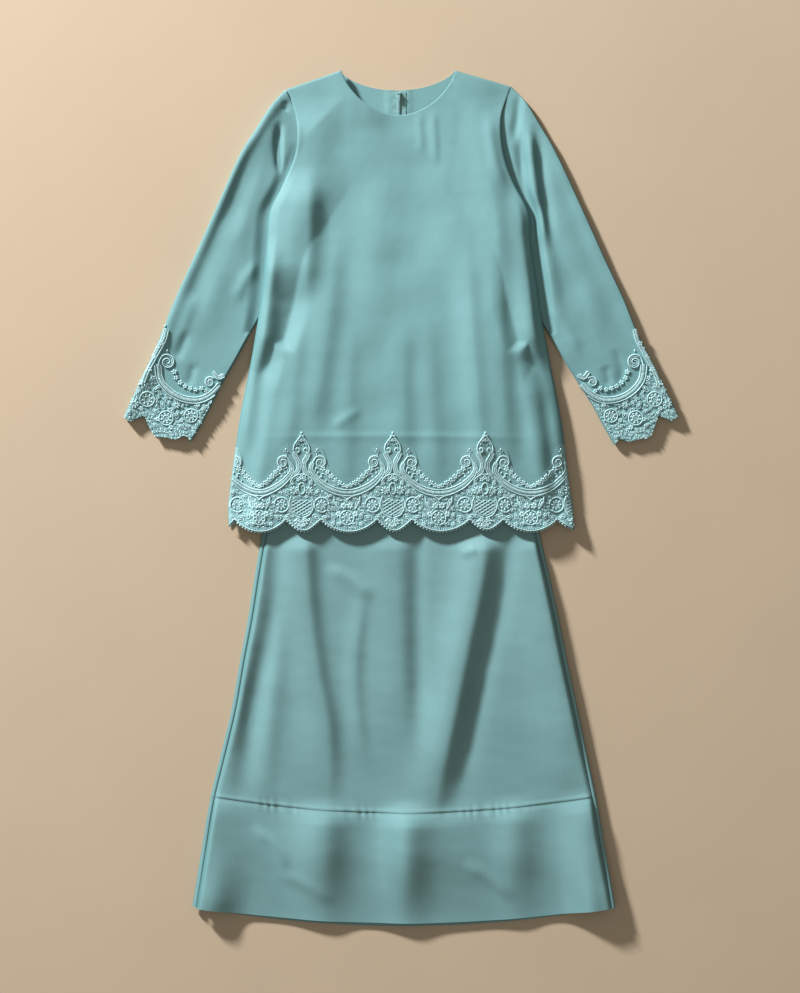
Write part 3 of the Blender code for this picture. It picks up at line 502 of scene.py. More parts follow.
def front_top(x, y):
    """Height of the upper face of the tunic's front."""
    left, right = body_edges(y)
    from_side = np.minimum(x - left, right - x)
    from_neck = -side_distance(x, y, neck_path(FRONT_NECK_DROP))[0]
    inside_neck = (x > NECK_LEFT) & (x < NECK_RIGHT)
    from_neck = np.where(inside_neck, np.maximum(from_neck, 0.0), np.abs(from_neck))
    from_shoulder = np.maximum(shoulder_height(x) - y, 0.0)
    from_hem = np.maximum(y - hem_height(x), 0.0)
    hem = 0.45 + 0.55 * smooth((y + 40.0) / 150.0)
    middle = 0.65 + 0.35 * smooth(from_side / 50.0)
    puff = BODY_PUFF * hem * middle
    puff = puff + crease_height(x, y, TUNIC_CREASES) * smooth((from_side + 12.0) / 30.0)
    puff = puff + 0.38 * soft_noise(x, y, 3, 110.0) + 0.04 * soft_noise(x, y, 4, 26.0)
    corner = np.exp(-(((y - HEM_Y) / 26.0) ** 2 + ((from_side - 4.0) / 20.0) ** 2))
    puff = puff + 4.0 * corner
    roll = np.where(x > 0.0, SIDE_ROLL_RIGHT, SIDE_ROLL_LEFT) * smooth((330.0 - y) / 220.0)
    puff = puff + roll * np.exp(-(((from_side - 13.0) / 12.0) ** 2))
    puff = 1.0 + np.maximum(puff, 0.4)
    side_fall = rounded(from_side + 0.4, SIDE_ROUND)
    sewn = SEWN_SHARE * smooth((y - ARMHOLE_END_Y) / 50.0)
    puff = puff * (side_fall + (1.0 - side_fall) * sewn)
    left_neck = smooth((-10.0 - x) / 50.0) * smooth((y - 560.0) / 90.0)
    puff = puff + NECK_STAND * left_neck * np.exp(-((from_neck / 30.0) ** 2))
    puff = puff * (0.35 + 0.65 * rounded(from_shoulder, 2.6))
    puff = puff * (0.9 + 0.1 * rounded(from_neck, 2.0))
    puff = puff * (0.55 + 0.45 * rounded(from_hem, 3.0))
    return front_floor(x, y) + BACK_WALL + FRONT_LIE + CLOTH + puff


def skirt_seam_y(x):
    share = np.clip(np.abs(x - 4.0) / 327.0, 0.0, 1.0)
    return BAND_SEAM_Y - BAND_SEAM_SAG * (1.0 - share * share)


def skirt_hem_y(x, sag):
    share = np.clip(np.abs(x - 4.0) / 358.0, 0.0, 1.0)
    return SKIRT_HEM_Y - sag * (1.0 - share * share)


def skirt_lift(x, y):
    """How far the skirt's sides and its two hem corners curl up off the surface."""
    left, right = skirt_edges(y)
    up = np.maximum(y - SKIRT_HEM_Y, 0.0)
    lift = LEFT_CORNER_LIFT * np.exp(-(((x - left - 34.0) / 40.0) ** 2) - (up / 70.0) ** 2)
    lift = lift + RIGHT_CORNER_LIFT * np.exp(-(((right - x) / 58.0) ** 2) - (up / 90.0) ** 2)
    lift = lift + RIGHT_SIDE_LIFT * np.exp(-(((right - x) / 26.0) ** 2)) * smooth((40.0 - y) / 420.0)
    return lift * smooth((HIDDEN_FROM_Y - y) / 80.0)


def skirt_top(x, y):
    """Height of the upper face of the skirt's front, band included."""
    left, right = skirt_edges(y)
    from_seam = np.minimum(x - left, right - x) - SIDE_SEAM_INSET
    below = skirt_seam_y(x) - y
    band = smooth((below + 26.0) / 52.0)
    creases = crease_height(x, y, SKIRT_CREASES) * (1.0 - band)
    creases = creases + crease_height(x, y, BAND_CREASES) * band
    free = SKIRT_PUFF + creases + 0.3 * soft_noise(x, y, 7, 90.0) + 0.05 * soft_noise(x, y, 8, 30.0)
    puckers = np.zeros(x.shape)
    for middle, half_width, height in BAND_PUCKERS:
        window = np.exp(-(((x - middle) / half_width) ** 2))
        puckers = puckers + height * window * np.cos((x + 0.25 * y) / 2.6 + 1.6 * np.sin(x / 9.0))
    puckers = puckers * np.exp(-((below / 9.0) ** 2))
    groove = 0.4 * np.exp(-(((below + 3.5) / 3.2) ** 2))
    groove = groove - 0.6 * np.exp(-((below / np.where(below > 0.0, 5.0, 1.4)) ** 2))
    free = np.maximum(free + puckers + groove, 0.3)
    from_corner = np.minimum(x - left, right - x)
    from_hem = y - skirt_hem_y(x, FRONT_HEM_SAG)
    at_hem = smooth(1.0 - from_hem / HEM_CALM_REACH) * smooth((from_corner - 30.0) / 70.0)
    free = free * (1.0 - HEM_CALM * at_hem)
    hidden = smooth((y - HIDDEN_FROM_Y) / HIDDEN_RAMP)
    free = free + (np.minimum(free, HIDDEN_SKIRT_RISE) - free) * hidden
    return SKIRT_TUBE - 1.4 * at_hem + free * rounded(from_seam + 0.3, 9.0) + skirt_lift(x, y)


def sleeve_direction(rows):
    low = rows[-1]
    high = rows[-5]
    dx = 0.5 * (high[0] + high[2] - low[0] - low[2])
    dy = 0.5 * (high[1] + high[3] - low[1] - low[3])
    length = math.hypot(dx, dy)
    return dx / length, dy / length


def armhole_curve(rows, share, side):
    """The sleeve's upper end: beside the armhole above, then on under the tunic's side."""
    heights = np.array([672.0, 645.0, 618.0, 590.0, 568.0, 546.0])
    edge = body_edges(heights)[0 if side < 0 else 1] + side * ARMHOLE_GAP
    end = np.array((rows[0][2], rows[0][3]), float)
    chest = np.column_stack((edge, heights))
    points = np.vstack(([rows[0][:2]], chest, [0.5 * (chest[-1] + end)], [end]))
    keys = np.concatenate(([0.0], np.cumsum(np.linalg.norm(np.diff(points, axis=0), axis=1))))
    table = [(keys[row] / keys[-1], points[row][0], points[row][1]) for row in range(len(points))]
    return spline(table, share, 0, 1), spline(table, share, 0, 2)


def sleeve_plan(rows, row, share, side):
    """Plan of a sleeve: row from armhole to cuff, share from outer to inner edge."""
    table = [(index,) + values for index, values in enumerate(rows)]
    out_x, out_y, in_x, in_y = (spline(table, row, 0, axis) for axis in (1, 2, 3, 4))
    x = out_x + (in_x - out_x) * share
    y = out_y + (in_y - out_y) * share
    first = rows[0]
    curve_x, curve_y = armhole_curve(rows, share, side)
    bow = np.maximum(0.0, 1.0 - row / 4.0) ** 2
    x = x + (curve_x - first[0] - (first[2] - first[0]) * share) * bow
    y = y + (curve_y - first[1] - (first[3] - first[1]) * share) * bow
    scallop = spline(CUFF_SCALLOPS, share)
    near_cuff = np.maximum(0.0, 1.0 - (len(rows) - 1 - row) / 2.0)
    up_x, up_y = sleeve_direction(rows)
    return x + up_x * scallop * near_cuff, y + up_y * scallop * near_cuff


def sleeve_heights(rows, row, share, side, creases):
    """Plan, upper face and lower face of a sleeve."""
    x, y = sleeve_plan(rows, row, share, side)
    out_x, out_y = sleeve_plan(rows, row, np.zeros_like(share), side)
    in_x, in_y = sleeve_plan(rows, row, np.ones_like(share), side)
    width = np.hypot(in_x - out_x, in_y - out_y)
    from_edge = np.minimum(share, 1.0 - share) * width
    last = len(rows) - 1
    room = LACE_ROOM * smooth((row - last + 6.6) / 2.0)
    from_armhole = smooth((row - 0.05) / 0.9)
    from_armhole = from_armhole + (1.0 - from_armhole) * SEWN_SHARE * smooth((y - ARMHOLE_END_Y) / 50.0)
    near_cuff = 1.0 - 0.5 * smooth((row - last + 4.0) / 4.0)
    puff = 3.6 * near_cuff + crease_height(x, y, creases)
    puff = puff + 0.3 * soft_noise(x, y, 11, 80.0) + 0.04 * soft_noise(x, y, 12, 24.0)
    left, right = body_edges(y)
    inside = np.maximum(left - x, x - right)
    under_body = (1.0 - smooth((inside - 4.0) / 20.0)) * (1.0 - smooth((y - ARMHOLE_END_Y) / 50.0))
    under_body = np.where(y > 280.0, under_body, 0.0)
    rise = np.maximum(puff, 0.3) * from_armhole * (1.0 - under_body)
    from_outer = share * width
    roll = EDGE_ROLL_LEFT if side < 0 else EDGE_ROLL_RIGHT
    rise = rise + roll * np.exp(-(((from_outer - 7.0) / 12.0) ** 2)) * from_armhole * near_cuff
    half = 0.5 * SLEEVE_TUBE
    top = room + half + (half + rise) * rounded(from_edge, 2.6)
    low = room + half - half * rounded(from_edge, 3.0)
    return x, y, top, low


def shell(name, points, thickness, material, plan=None, closed=False):
    """A thin walled cloth from its outer face, a table of points in millimetres.

    Faces look towards the left-hand side of the rows' cross product, and the wall goes inward.
    """
    points = np.asarray(points, float)
    rows, count = points.shape[:2]
    if plan is None:
        plan = points[:, :, :2]
    across = np.gradient(points, axis=1)
    if closed:
        across = 0.5 * (np.roll(points, -1, axis=1) - np.roll(points, 1, axis=1))
    along = np.gradient(points, axis=0)
    normal = np.cross(across, along)
    size = np.linalg.norm(normal, axis=2, keepdims=True)
    normal = normal / np.maximum(size, 1e-9)
    # How steeply the cloth tilts, kept as a share that sets the shade painted on fold sides and turned edges
    tilt = np.degrees(np.arccos(np.clip(np.abs(normal[:, :, 2]), 0.0, 1.0)))
    fold_shade_share = np.clip((tilt - STEEP_FROM) / (STEEP_TO - STEEP_FROM), 0.0, 1.0).ravel()
    inner = points - normal * thickness
    inner[:, :, 2] = np.maximum(inner[:, :, 2], 0.0)
    verts = np.concatenate((points.reshape(-1, 3), inner.reshape(-1, 3))) * MM
    index = np.arange(rows * count).reshape(rows, count)
    if closed:
        index = np.concatenate((index, index[:, :1]), axis=1)
    a, b = index[:-1, :-1], index[:-1, 1:]
    c, d = index[1:, 1:], index[1:, :-1]
    outer = np.stack((a, b, c, d), axis=-1).reshape(-1, 4)
    shift = rows * count
    faces = [outer, outer[:, ::-1] + shift]
    rims = [index[0], index[-1][::-1]]
    if not closed:
        rims += [index[:, -1], index[:, 0][::-1]]
    for rim in rims:
        faces.append(np.stack((rim[:-1], rim[:-1] + shift, rim[1:] + shift, rim[1:]), axis=-1))
    faces = np.concatenate(faces)
    mesh = bpy.data.meshes.new(name)
    mesh.from_pydata(verts.tolist(), [], faces.tolist())
    mesh.polygons.foreach_set("use_smooth", [True] * len(mesh.polygons))
    flat = np.concatenate((plan.reshape(-1, 2), plan.reshape(-1, 2))) * MM
    corners = np.zeros(len(mesh.loops), int)
    mesh.loops.foreach_get("vertex_index", corners)
    uv = mesh.uv_layers.new(name="cloth")
    uv.data.foreach_set("uv", flat[corners].ravel())
    # Stored on the mesh for the painted fold shade
    mesh.attributes.new("fold_shade_share", "FLOAT", "POINT").data.foreach_set("value", np.tile(fold_shade_share, 2))
    on_rim = np.zeros(2 * shift, bool)
    for rim in rims:
        on_rim[rim] = True
        on_rim[rim + shift] = True
    ends = np.zeros(2 * len(mesh.edges), int)
    mesh.edges.foreach_get("vertices", ends)
    ends = ends.reshape(-1, 2)
    sharp = on_rim[ends[:, 0]] & on_rim[ends[:, 1]] & ((ends[:, 0] < shift) == (ends[:, 1] < shift))
    mesh.attributes.new("sharp_edge", "BOOLEAN", "EDGE").data.foreach_set("value", sharp)
    return add_piece(name, mesh, material)


def add_piece(name, mesh, material):
    piece = bpy.data.objects.new(name, mesh)
    bpy.context.scene.collection.objects.link(piece)
    mesh.materials.clear()
    mesh.materials.append(material)
    return piece


def dress(piece, body, nodes):
    """Attach a finished cloth piece to its body and hide the CAD parts, its nodes, that it takes the place of."""
    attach(piece, body)
    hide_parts(*nodes)


# Materials


def new_material(name, colour, roughness):
    material = bpy.data.materials.new(name)
    material.use_nodes = True
    shader = material.node_tree.nodes["Principled BSDF"]
    shader.inputs["Base Color"].default_value = tuple(colour) + (1.0,)
    shader.inputs["Roughness"].default_value = roughness
    material.diffuse_color = tuple(colour) + (1.0,)
    return material, shader


def node(material, kind, **settings):
    made = material.node_tree.nodes.new(kind)
    for name, value in settings.items():
        if name in made.inputs:
            made.inputs[name].default_value = value
        else:
            setattr(made, name, value)
    return made


def link(material, start, end):
    material.node_tree.links.new(start, end)


def shade(colour, factor):
    return tuple(min(part * factor, 1.0) for part in colour) + (1.0,)


def cloth_place(material, on_uv):
    coordinates = node(material, "ShaderNodeTexCoord")
    return coordinates.outputs["UV" if on_uv else "Object"]


def spread(material, place, scale, detail=3.0):
    noise = node(material, "ShaderNodeTexNoise")
    noise.inputs["Scale"].default_value = scale
    noise.inputs["Detail"].default_value = detail
    link(material, place, noise.inputs["Vector"])
    return noise.outputs["Fac"]


def weave(material, place, period, turn):
    """Bands of yarn, one period wide, across the cloth."""
    mapping = node(material, "ShaderNodeMapping")
    mapping.inputs["Rotation"].default_value = (0.0, 0.0, turn)
    link(material, place, mapping.inputs["Vector"])
    bands = node(material, "ShaderNodeTexWave")
    bands.wave_type = "BANDS"
    bands.bands_direction = "X"
    bands.inputs["Scale"].default_value = 0.314 / period
    bands.inputs["Distortion"].default_value = 1.2
    bands.inputs["Detail"].default_value = 1.0
    bands.inputs["Detail Scale"].default_value = 1.5
    link(material, mapping.outputs["Vector"], bands.inputs["Vector"])
    return bands.outputs["Fac"]


def mixed(material, first, second, share):
    mix = node(material, "ShaderNodeMath", operation="MULTIPLY_ADD")
    link(material, first, mix.inputs[0])
    mix.inputs[1].default_value = share
    link(material, second, mix.inputs[2])
    return mix.outputs[0]


def tones(material, factor, dark, light, low=0.3, high=0.7):
    ramp = node(material, "ShaderNodeValToRGB")
    ramp.color_ramp.elements[0].position = low
    ramp.color_ramp.elements[0].color = dark
    ramp.color_ramp.elements[1].position = high
    ramp.color_ramp.elements[1].color = light
    link(material, factor, ramp.inputs["Fac"])
    return ramp.outputs["Color"]


def paint_fold_shade(material, colour, fold_shade_colour):
    """Paints shade on the cloth where it tilts steeply, on the sides of its folds and on its turned edges, by mixing
    its colour towards a darker one.
    """
    fold_shade_share = node(material, "ShaderNodeAttribute", attribute_name="fold_shade_share")
    blend = node(material, "ShaderNodeMix", data_type="RGBA")
    blend.inputs[7].default_value = tuple(fold_shade_colour) + (1.0,)
    link(material, fold_shade_share.outputs["Fac"], blend.inputs[0])
    link(material, colour, blend.inputs[6])
    return blend.outputs[2]


def span(material, factor, low, high):
    reach = node(material, "ShaderNodeMapRange")
    reach.inputs["To Min"].default_value = low
    reach.inputs["To Max"].default_value = high
    link(material, factor, reach.inputs["Value"])
    return reach.outputs["Result"]


def bump(material, shader, height, distance, strength):
    relief = node(material, "ShaderNodeBump")
    relief.inputs["Strength"].default_value = strength
    relief.inputs["Distance"].default_value = distance
    link(material, height, relief.inputs["Height"])
    link(material, relief.outputs["Normal"], shader.inputs["Normal"])


def make_crepe():
    """Matte crepe: high-twist yarns that pull into a fine pebble."""
    material, shader = new_material("crepe", CREPE, 0.6)
    shader.inputs["Specular IOR Level"].default_value = 0.25
    shader.inputs["Sheen Weight"].default_value = 0.18
    shader.inputs["Sheen Roughness"].default_value = 0.45
    shader.inputs["Sheen Tint"].default_value = (0.75, 0.95, 0.95, 1.0)
    place = cloth_place(material, True)
    cloud = spread(material, place, 14.0, 4.0)
    grain = spread(material, place, 900.0, 2.0)
    tone = mixed(material, grain, cloud, 0.35)
    flat = tones(material, tone, shade(CREPE, 0.95), shade(CREPE, 1.05), 0.45, 0.9)
    # The crepe's colour gets painted shade on its fold sides and turned edges
    link(material, paint_fold_shade(material, flat, CREPE_FOLD_SHADE), shader.inputs["Base Color"])
    link(material, span(material, grain, 0.54, 0.66), shader.inputs["Roughness"])
    yarns = mixed(material, weave(material, place, 0.0006, 0.0), weave(material, place, 0.0006, 1.571), 1.0)
    height = mixed(material, grain, yarns, 0.8)
    bump(material, shader, height, 0.00012, 0.35)
    return material


def make_satin():
    """Smooth satin: long floats along the length, a soft shine across them."""
    material, shader = new_material("satin", SATIN, 0.44)
    shader.inputs["Specular IOR Level"].default_value = 0.55
    shader.inputs["Anisotropic"].default_value = 0.4
    run = node(material, "ShaderNodeTangent", direction_type="UV_MAP", uv_map="cloth")
    link(material, run.outputs["Tangent"], shader.inputs["Tangent"])
    shader.inputs["Sheen Weight"].default_value = 0.10
    shader.inputs["Sheen Roughness"].default_value = 0.4
    shader.inputs["Sheen Tint"].default_value = (0.75, 0.95, 0.95, 1.0)
    place = cloth_place(material, True)
    cloud = spread(material, place, 11.0, 4.0)
    streaks = node(material, "ShaderNodeMapping")
    streaks.inputs["Scale"].default_value = (700.0, 40.0, 1.0)
    link(material, place, streaks.inputs["Vector"])
    floats = spread(material, streaks.outputs["Vector"], 1.0, 2.0)
    tone = mixed(material, floats, cloud, 0.35)
    flat = tones(material, tone, shade(SATIN, 0.95), shade(SATIN, 1.05), 0.45, 0.9)
    # The satin's colour gets painted shade on its fold sides and turned edges
    link(material, paint_fold_shade(material, flat, SATIN_FOLD_SHADE), shader.inputs["Base Color"])
    link(material, span(material, floats, 0.40, 0.50), shader.inputs["Roughness"])
    height = mixed(material, floats, weave(material, place, 0.0004, 0.0), 0.7)
    bump(material, shader, height, 0.00008, 0.3)
    return material


def make_net():
    """Fine six-sided net, filled, behind the lace's cords."""
    material, shader = new_material("lace_net", NET, 0.68)
    shader.inputs["Specular IOR Level"].default_value = 0.3
    shader.inputs["Sheen Weight"].default_value = 0.15
    shader.inputs["Sheen Roughness"].default_value = 0.5
    place = cloth_place(material, True)
    cells = node(material, "ShaderNodeTexVoronoi")
    cells.feature = "DISTANCE_TO_EDGE"
    cells.inputs["Scale"].default_value = 620.0
    cells.inputs["Randomness"].default_value = 0.55
    link(material, place, cells.inputs["Vector"])
    threads = span(material, cells.outputs["Distance"], 1.0, 0.0)
    # The net's threads are lighter and the middles of its cells are painted darker, as shade inside the holes
    link(material, tones(material, cells.outputs["Distance"], shade(NET, 1.25), shade(NET, 0.72), 0.02, 0.28),
         shader.inputs["Base Color"])
    bump(material, shader, threads, 0.0003, 0.6)
    return material


def make_cord(name, colour, roughness):
    """Shiny twisted cord and satin stitch."""
    material, shader = new_material(name, colour, roughness)
    shader.inputs["Specular IOR Level"].default_value = 0.5
    shader.inputs["Sheen Weight"].default_value = 0.25
    shader.inputs["Sheen Roughness"].default_value = 0.35
    place = cloth_place(material, False)
    cloud = spread(material, place, 60.0, 2.0)
    link(material, tones(material, cloud, shade(colour, 0.9), shade(colour, 1.08)), shader.inputs["Base Color"])
    link(material, span(material, cloud, roughness - 0.06, roughness + 0.08), shader.inputs["Roughness"])
    bump(material, shader, weave(material, place, 0.0007, 0.785), 0.00015, 0.5)
    return material


def make_tape():
    """Narrow woven zip tape with a herringbone."""
    material, shader = new_material("zip_tape", TAPE, 0.7)
    shader.inputs["Sheen Weight"].default_value = 0.15
    place = cloth_place(material, True)
    bones = mixed(material, weave(material, place, 0.0009, 0.785), weave(material, place, 0.0009, -0.785), 1.0)
    link(material, tones(material, bones, shade(TAPE, 0.9), shade(TAPE, 1.1), 0.4, 1.4), shader.inputs["Base Color"])
    bump(material, shader, bones, 0.00015, 0.5)
    return material


def make_enamel():
    """Painted zip metal, its tone and shine varying a little."""
    material, shader = new_material("painted_zip_metal", ENAMEL, 0.35)
    shader.inputs["Coat Weight"].default_value = 0.3
    place = cloth_place(material, False)
    cloud = spread(material, place, 400.0, 3.0)
    link(material, tones(material, cloud, shade(ENAMEL, 0.92), shade(ENAMEL, 1.06)), shader.inputs["Base Color"])
    link(material, span(material, cloud, 0.28, 0.45), shader.inputs["Roughness"])
    bump(material, shader, cloud, 0.00005, 0.2)
    return material


def make_floor_look():
    material, shader = new_material("plain_floor", FLOOR, 0.8)
    shader.inputs["Specular IOR Level"].default_value = 0.2
    place = cloth_place(material, False)
    cloud = spread(material, place, 5.0, 3.0)
    link(material, tones(material, cloud, shade(FLOOR, 0.985), shade(FLOOR, 1.015)), shader.inputs["Base Color"])
    return material


crepe = make_crepe()
satin = make_satin()
net = make_net()
cord_look = make_cord("lace_cord", CORD, 0.42)
tape_look = make_tape()
coil_look = make_cord("zip_coil", COIL, 0.5)
enamel = make_enamel()


# Tunic


def front_stations(step, extra=()):
    count = int(round((HEM_RIGHT - HEM_LEFT) / step))
    places = set(np.linspace(HEM_LEFT, HEM_RIGHT, count + 1).tolist())
    for neck in NECK_STATIONS:
        places.update(neck + offset for offset in (-1.2, -0.3, 0.0, 0.3, 1.2))
    places.update(extra)
    places = sorted(places)
    kept = [places[0]]
    for place in places[1:]:
        if place - kept[-1] > 0.25:
            kept.append(place)
    return np.array(kept)


def make_front():
    stations = front_stations(4.2, (HEM_LEFT + 1.2, HEM_LEFT + 2.4, HEM_RIGHT - 1.2, HEM_RIGHT - 2.4))
    heights = np.concatenate((
        np.linspace(HEM_Y, HEM_Y + 12.0, 7)[:-1],
        np.linspace(HEM_Y + 12.0, TOP_Y - 12.0, 182)[:-1],
        np.linspace(TOP_Y - 12.0, TOP_Y, 9),
    ))
    x, y = body_plan(*np.meshgrid(stations, heights), FRONT_NECK_DROP)
    points = np.dstack((x, y, front_top(x, y)))
    piece = shell("crepe_front", points, CLOTH, crepe)
    dress(piece, "garment", ["tunic_front"])
    return piece


def make_backs():
    names = (("left", HEM_LEFT, CENTRE_BACK), ("right", CENTRE_BACK, HEM_RIGHT))
    for name, start, end in names:
        stations = np.linspace(start, end, 75)
        heights = np.linspace(HEM_Y, TOP_Y, 150)
        x, y = body_plan(*np.meshgrid(stations, heights), BACK_NECK_DROP)
        seam = -1 if name == "left" else 0
        drift = x[:, seam] - CENTRE_BACK
        share = (stations - start) / (end - start)
        share = share if name == "left" else 1.0 - share
        x = x - np.outer(drift, share) - (0.15 if name == "left" else -0.15) * share
        low = tunic_floor(x, y)
        top = low + CLOTH
        from_seam = np.abs(x - CENTRE_BACK)
        pucker = 0.7 * np.exp(-((from_seam / 16.0) ** 2)) * np.cos(y / 3.1) * smooth((y - 560.0) / 60.0)
        swell = 0.9 * np.exp(-(((from_seam - 15.0) / 8.0) ** 2)) * smooth((y - 600.0) / 60.0)
        top = top + np.maximum(pucker, 0.0) + swell + 0.4 * np.exp(-((from_seam / 3.0) ** 2)) * (y < 560.0)
        points = np.dstack((x, y, top))
        piece = shell("crepe_back_" + name, points, CLOTH, crepe)
        dress(piece, "garment", ["tunic_back_" + name])


# Sleeves


def tube_shares(count):
    """Places across a flattened tube, close together near its edges."""
    turn = np.linspace(0.0, math.pi, count)
    return 0.5 - 0.5 * np.cos(turn)


def make_sleeve(name, rows, creases, side):
    last = len(rows) - 1
    row = np.concatenate((np.linspace(0.0, 2.0, 50)[:-1], np.linspace(2.0, last, 130)))
    upper_share = tube_shares(72)
    lower_share = tube_shares(24)[1:-1][::-1]
    grid_share, grid_row = np.meshgrid(upper_share, row)
    x, y, top, _ = sleeve_heights(rows, grid_row, grid_share, side, creases)
    upper = np.dstack((x, y, top))
    grid_share, grid_row = np.meshgrid(lower_share, row)
    x, y, _, low = sleeve_heights(rows, grid_row, grid_share, side, creases)
    lower = np.dstack((x, y, low))
    ring = np.concatenate((upper, lower), axis=1)
    steps = np.linalg.norm(np.diff(ring, axis=1), axis=2)
    around = np.concatenate((np.zeros((len(row), 1)), np.cumsum(steps, axis=1)), axis=1)
    steps = np.linalg.norm(np.diff(ring, axis=0), axis=2)
    along = np.concatenate((np.zeros((1, ring.shape[1])), np.cumsum(steps, axis=0)), axis=0)
    plan = np.dstack((around, -along))
    if side < 0:
        ring = ring[:, ::-1]
        plan = plan[:, ::-1]
    piece = shell("crepe_sleeve_" + name, ring, CLOTH, crepe, plan, True)
    dress(piece, "garment", ["sleeve_" + name])
    return piece


# Skirt


def make_skirt_panel(name, node_name, top_y, bottom_y, shares, columns):
    shares = np.asarray(shares)
    across = np.linspace(0.0, 1.0, columns + 1)
    middle_y = top_y(np.zeros(1))[0] + (bottom_y(np.zeros(1))[0] - top_y(np.zeros(1))[0]) * shares
    inset = SIDE_SEAM_INSET + SEAM_GAP
    y = np.repeat(middle_y[:, None], columns + 1, axis=1)
    for _ in range(3):
        left, right = skirt_edges(y)
        x = left + inset + (right - left - 2.0 * inset) * across[None, :]
        y = top_y(x) + (bottom_y(x) - top_y(x)) * shares[:, None]
    left, right = skirt_edges(y)
    x = left + inset + (right - left - 2.0 * inset) * across[None, :]
    points = np.dstack((x, y, skirt_top(x, y)))[::-1]
    piece = shell(name, points, CLOTH, satin)
    dress(piece, "garment", [node_name])
    return piece


def make_skirt_back(name, node_name, top_y, bottom_y, rows):
    """A back panel: flat below, rolled up round both sides to the seams."""
    share = np.linspace(0.0, 1.0, rows)
    ends = []
    for curve in (top_y, bottom_y):
        pair = []
        for side in (0, 1):
            x = np.zeros(1)
            for _ in range(4):
                x = skirt_edges(curve(x))[side]
            pair.append(float(curve(x)[0]))
        ends.append(pair)
    y_left = ends[0][0] + (ends[1][0] - ends[0][0]) * share
    y_right = ends[0][1] + (ends[1][1] - ends[0][1]) * share
    left = skirt_edges(y_left)[0]
    right = skirt_edges(y_right)[1]
    profile = (
        (SIDE_SEAM_INSET, SKIRT_TUBE + 0.6),
        (6.0, SKIRT_TUBE + 1.2),
        (4.0, SKIRT_TUBE + 1.2),
        (2.0, SKIRT_TUBE + 0.7),
        (0.6, SKIRT_TUBE - 0.4),
        (0.0, 2.4),
        (0.5, 1.0),
        (1.6, 0.3),
    )
    columns = []
    for inset, height in profile:
        columns.append(np.column_stack((left + inset, y_left, np.full(rows, height))))
    for step in np.linspace(0.0, 1.0, 40):
        x = left + 3.5 + (right - left - 7.0) * step
        y = top_y(x) + (bottom_y(x) - top_y(x)) * share
        columns.append(np.column_stack((x, y, np.zeros(rows))))
    for inset, height in profile[::-1]:
        columns.append(np.column_stack((right - inset, y_right, np.full(rows, height))))
    points = np.stack(columns, axis=1)
    points[:, :, 2] += skirt_lift(points[:, :, 0], points[:, :, 1])
    piece = shell(name, points, CLOTH, satin)
    dress(piece, "garment", [node_name])


def make_skirt():
    half = 0.5 * SEAM_GAP
    panel_top = WAIST_Y - WAISTBAND_DEPTH - SEAM_GAP

    def waist(x):
        return np.full(np.shape(x), panel_top)

    def above_seam(x):
        return skirt_seam_y(x) + half

    def below_seam(x):
        return skirt_seam_y(x) - half

    def front_hem(x):
        return skirt_hem_y(x, FRONT_HEM_SAG)

    def back_hem(x):
        return skirt_hem_y(x, BACK_HEM_SAG)

    length = panel_top - float(above_seam(np.zeros(1))[0])
    seen_from = (panel_top + 30.0) / length
    shares = np.concatenate((
        np.linspace(0.0, seen_from, 24)[:-1],
        np.linspace(seen_from, 1.0 - 12.0 / length, 130)[:-1],
        np.linspace(1.0 - 12.0 / length, 1.0, 9),
    ))
    make_skirt_panel("satin_front", "skirt_front", waist, above_seam, shares, 170)
    band_shares = np.concatenate((np.linspace(0.0, 0.06, 8)[:-1], np.linspace(0.06, 0.975, 52)[:-1],
                                  np.linspace(0.975, 1.0, 4)))
    make_skirt_panel("satin_band_front", "skirt_band_front", below_seam, front_hem, band_shares, 220)
    make_skirt_back("satin_back", "skirt_back", waist, above_seam, 90)
    make_skirt_back("satin_band_back", "skirt_band_back", below_seam, back_hem, 24)
    make_waistband()


def make_waistband():
    rows = 12
    share = np.linspace(0.0, 1.0, rows)
    y = WAIST_Y - WAISTBAND_DEPTH * share
    left, right = skirt_edges(y)
    upper = []
    lower = []
    for place in tube_shares(90):
        x = left + (right - left) * place
        from_edge = np.minimum(x - left, right - x)
        gather = 0.5 * np.cos(x / 1.6) * np.sin(math.pi * share) ** 0.5
        top = 2.0 + (2.0 + 1.0 * smooth(from_edge / 40.0) + gather) * rounded(from_edge, 6.0)
        upper.append(np.column_stack((x, y, top)))
        lower.append(np.column_stack((x, y, 2.0 - 2.0 * rounded(from_edge, 3.0))))
    ring = np.stack(upper + lower[1:-1][::-1], axis=1)[::-1]
    piece = shell("satin_waistband", ring, CLOTH, satin, None, True)
    dress(piece, "garment", ["waistband"])


# Lace: cords, petals and seed stitches on a filled net


def spiral(middle_x, middle_y, radius, turns, start, spin):
    """A scroll that winds in: spin 1 runs anticlockwise, -1 clockwise."""
    share = np.linspace(0.0, 1.0, int(16 * turns) + 2)
    reach = radius * (1.0 - 0.84 * share)
    turn = start + spin * 2.0 * math.pi * turns * share
    return np.column_stack((middle_x + reach * np.cos(turn), middle_y + reach * np.sin(turn)))


def ring_path(middle_x, middle_y, radius, height=None, start=0.0, end=2.0 * math.pi):
    turn = np.linspace(start, end, 14)
    tall = radius if height is None else height
    return np.column_stack((middle_x + radius * np.cos(turn), middle_y + tall * np.sin(turn)))


def beside(path, away):
    """A path moved sideways, to its left where away is above 0."""
    path = np.asarray(path, float)
    run = np.gradient(path, axis=0)
    size = np.linalg.norm(run, axis=1, keepdims=True)
    run = run / np.maximum(size, 1e-9)
    away = np.broadcast_to(np.asarray(away, float), (len(path),))
    return path + np.column_stack((-run[:, 1], run[:, 0])) * away[:, None]


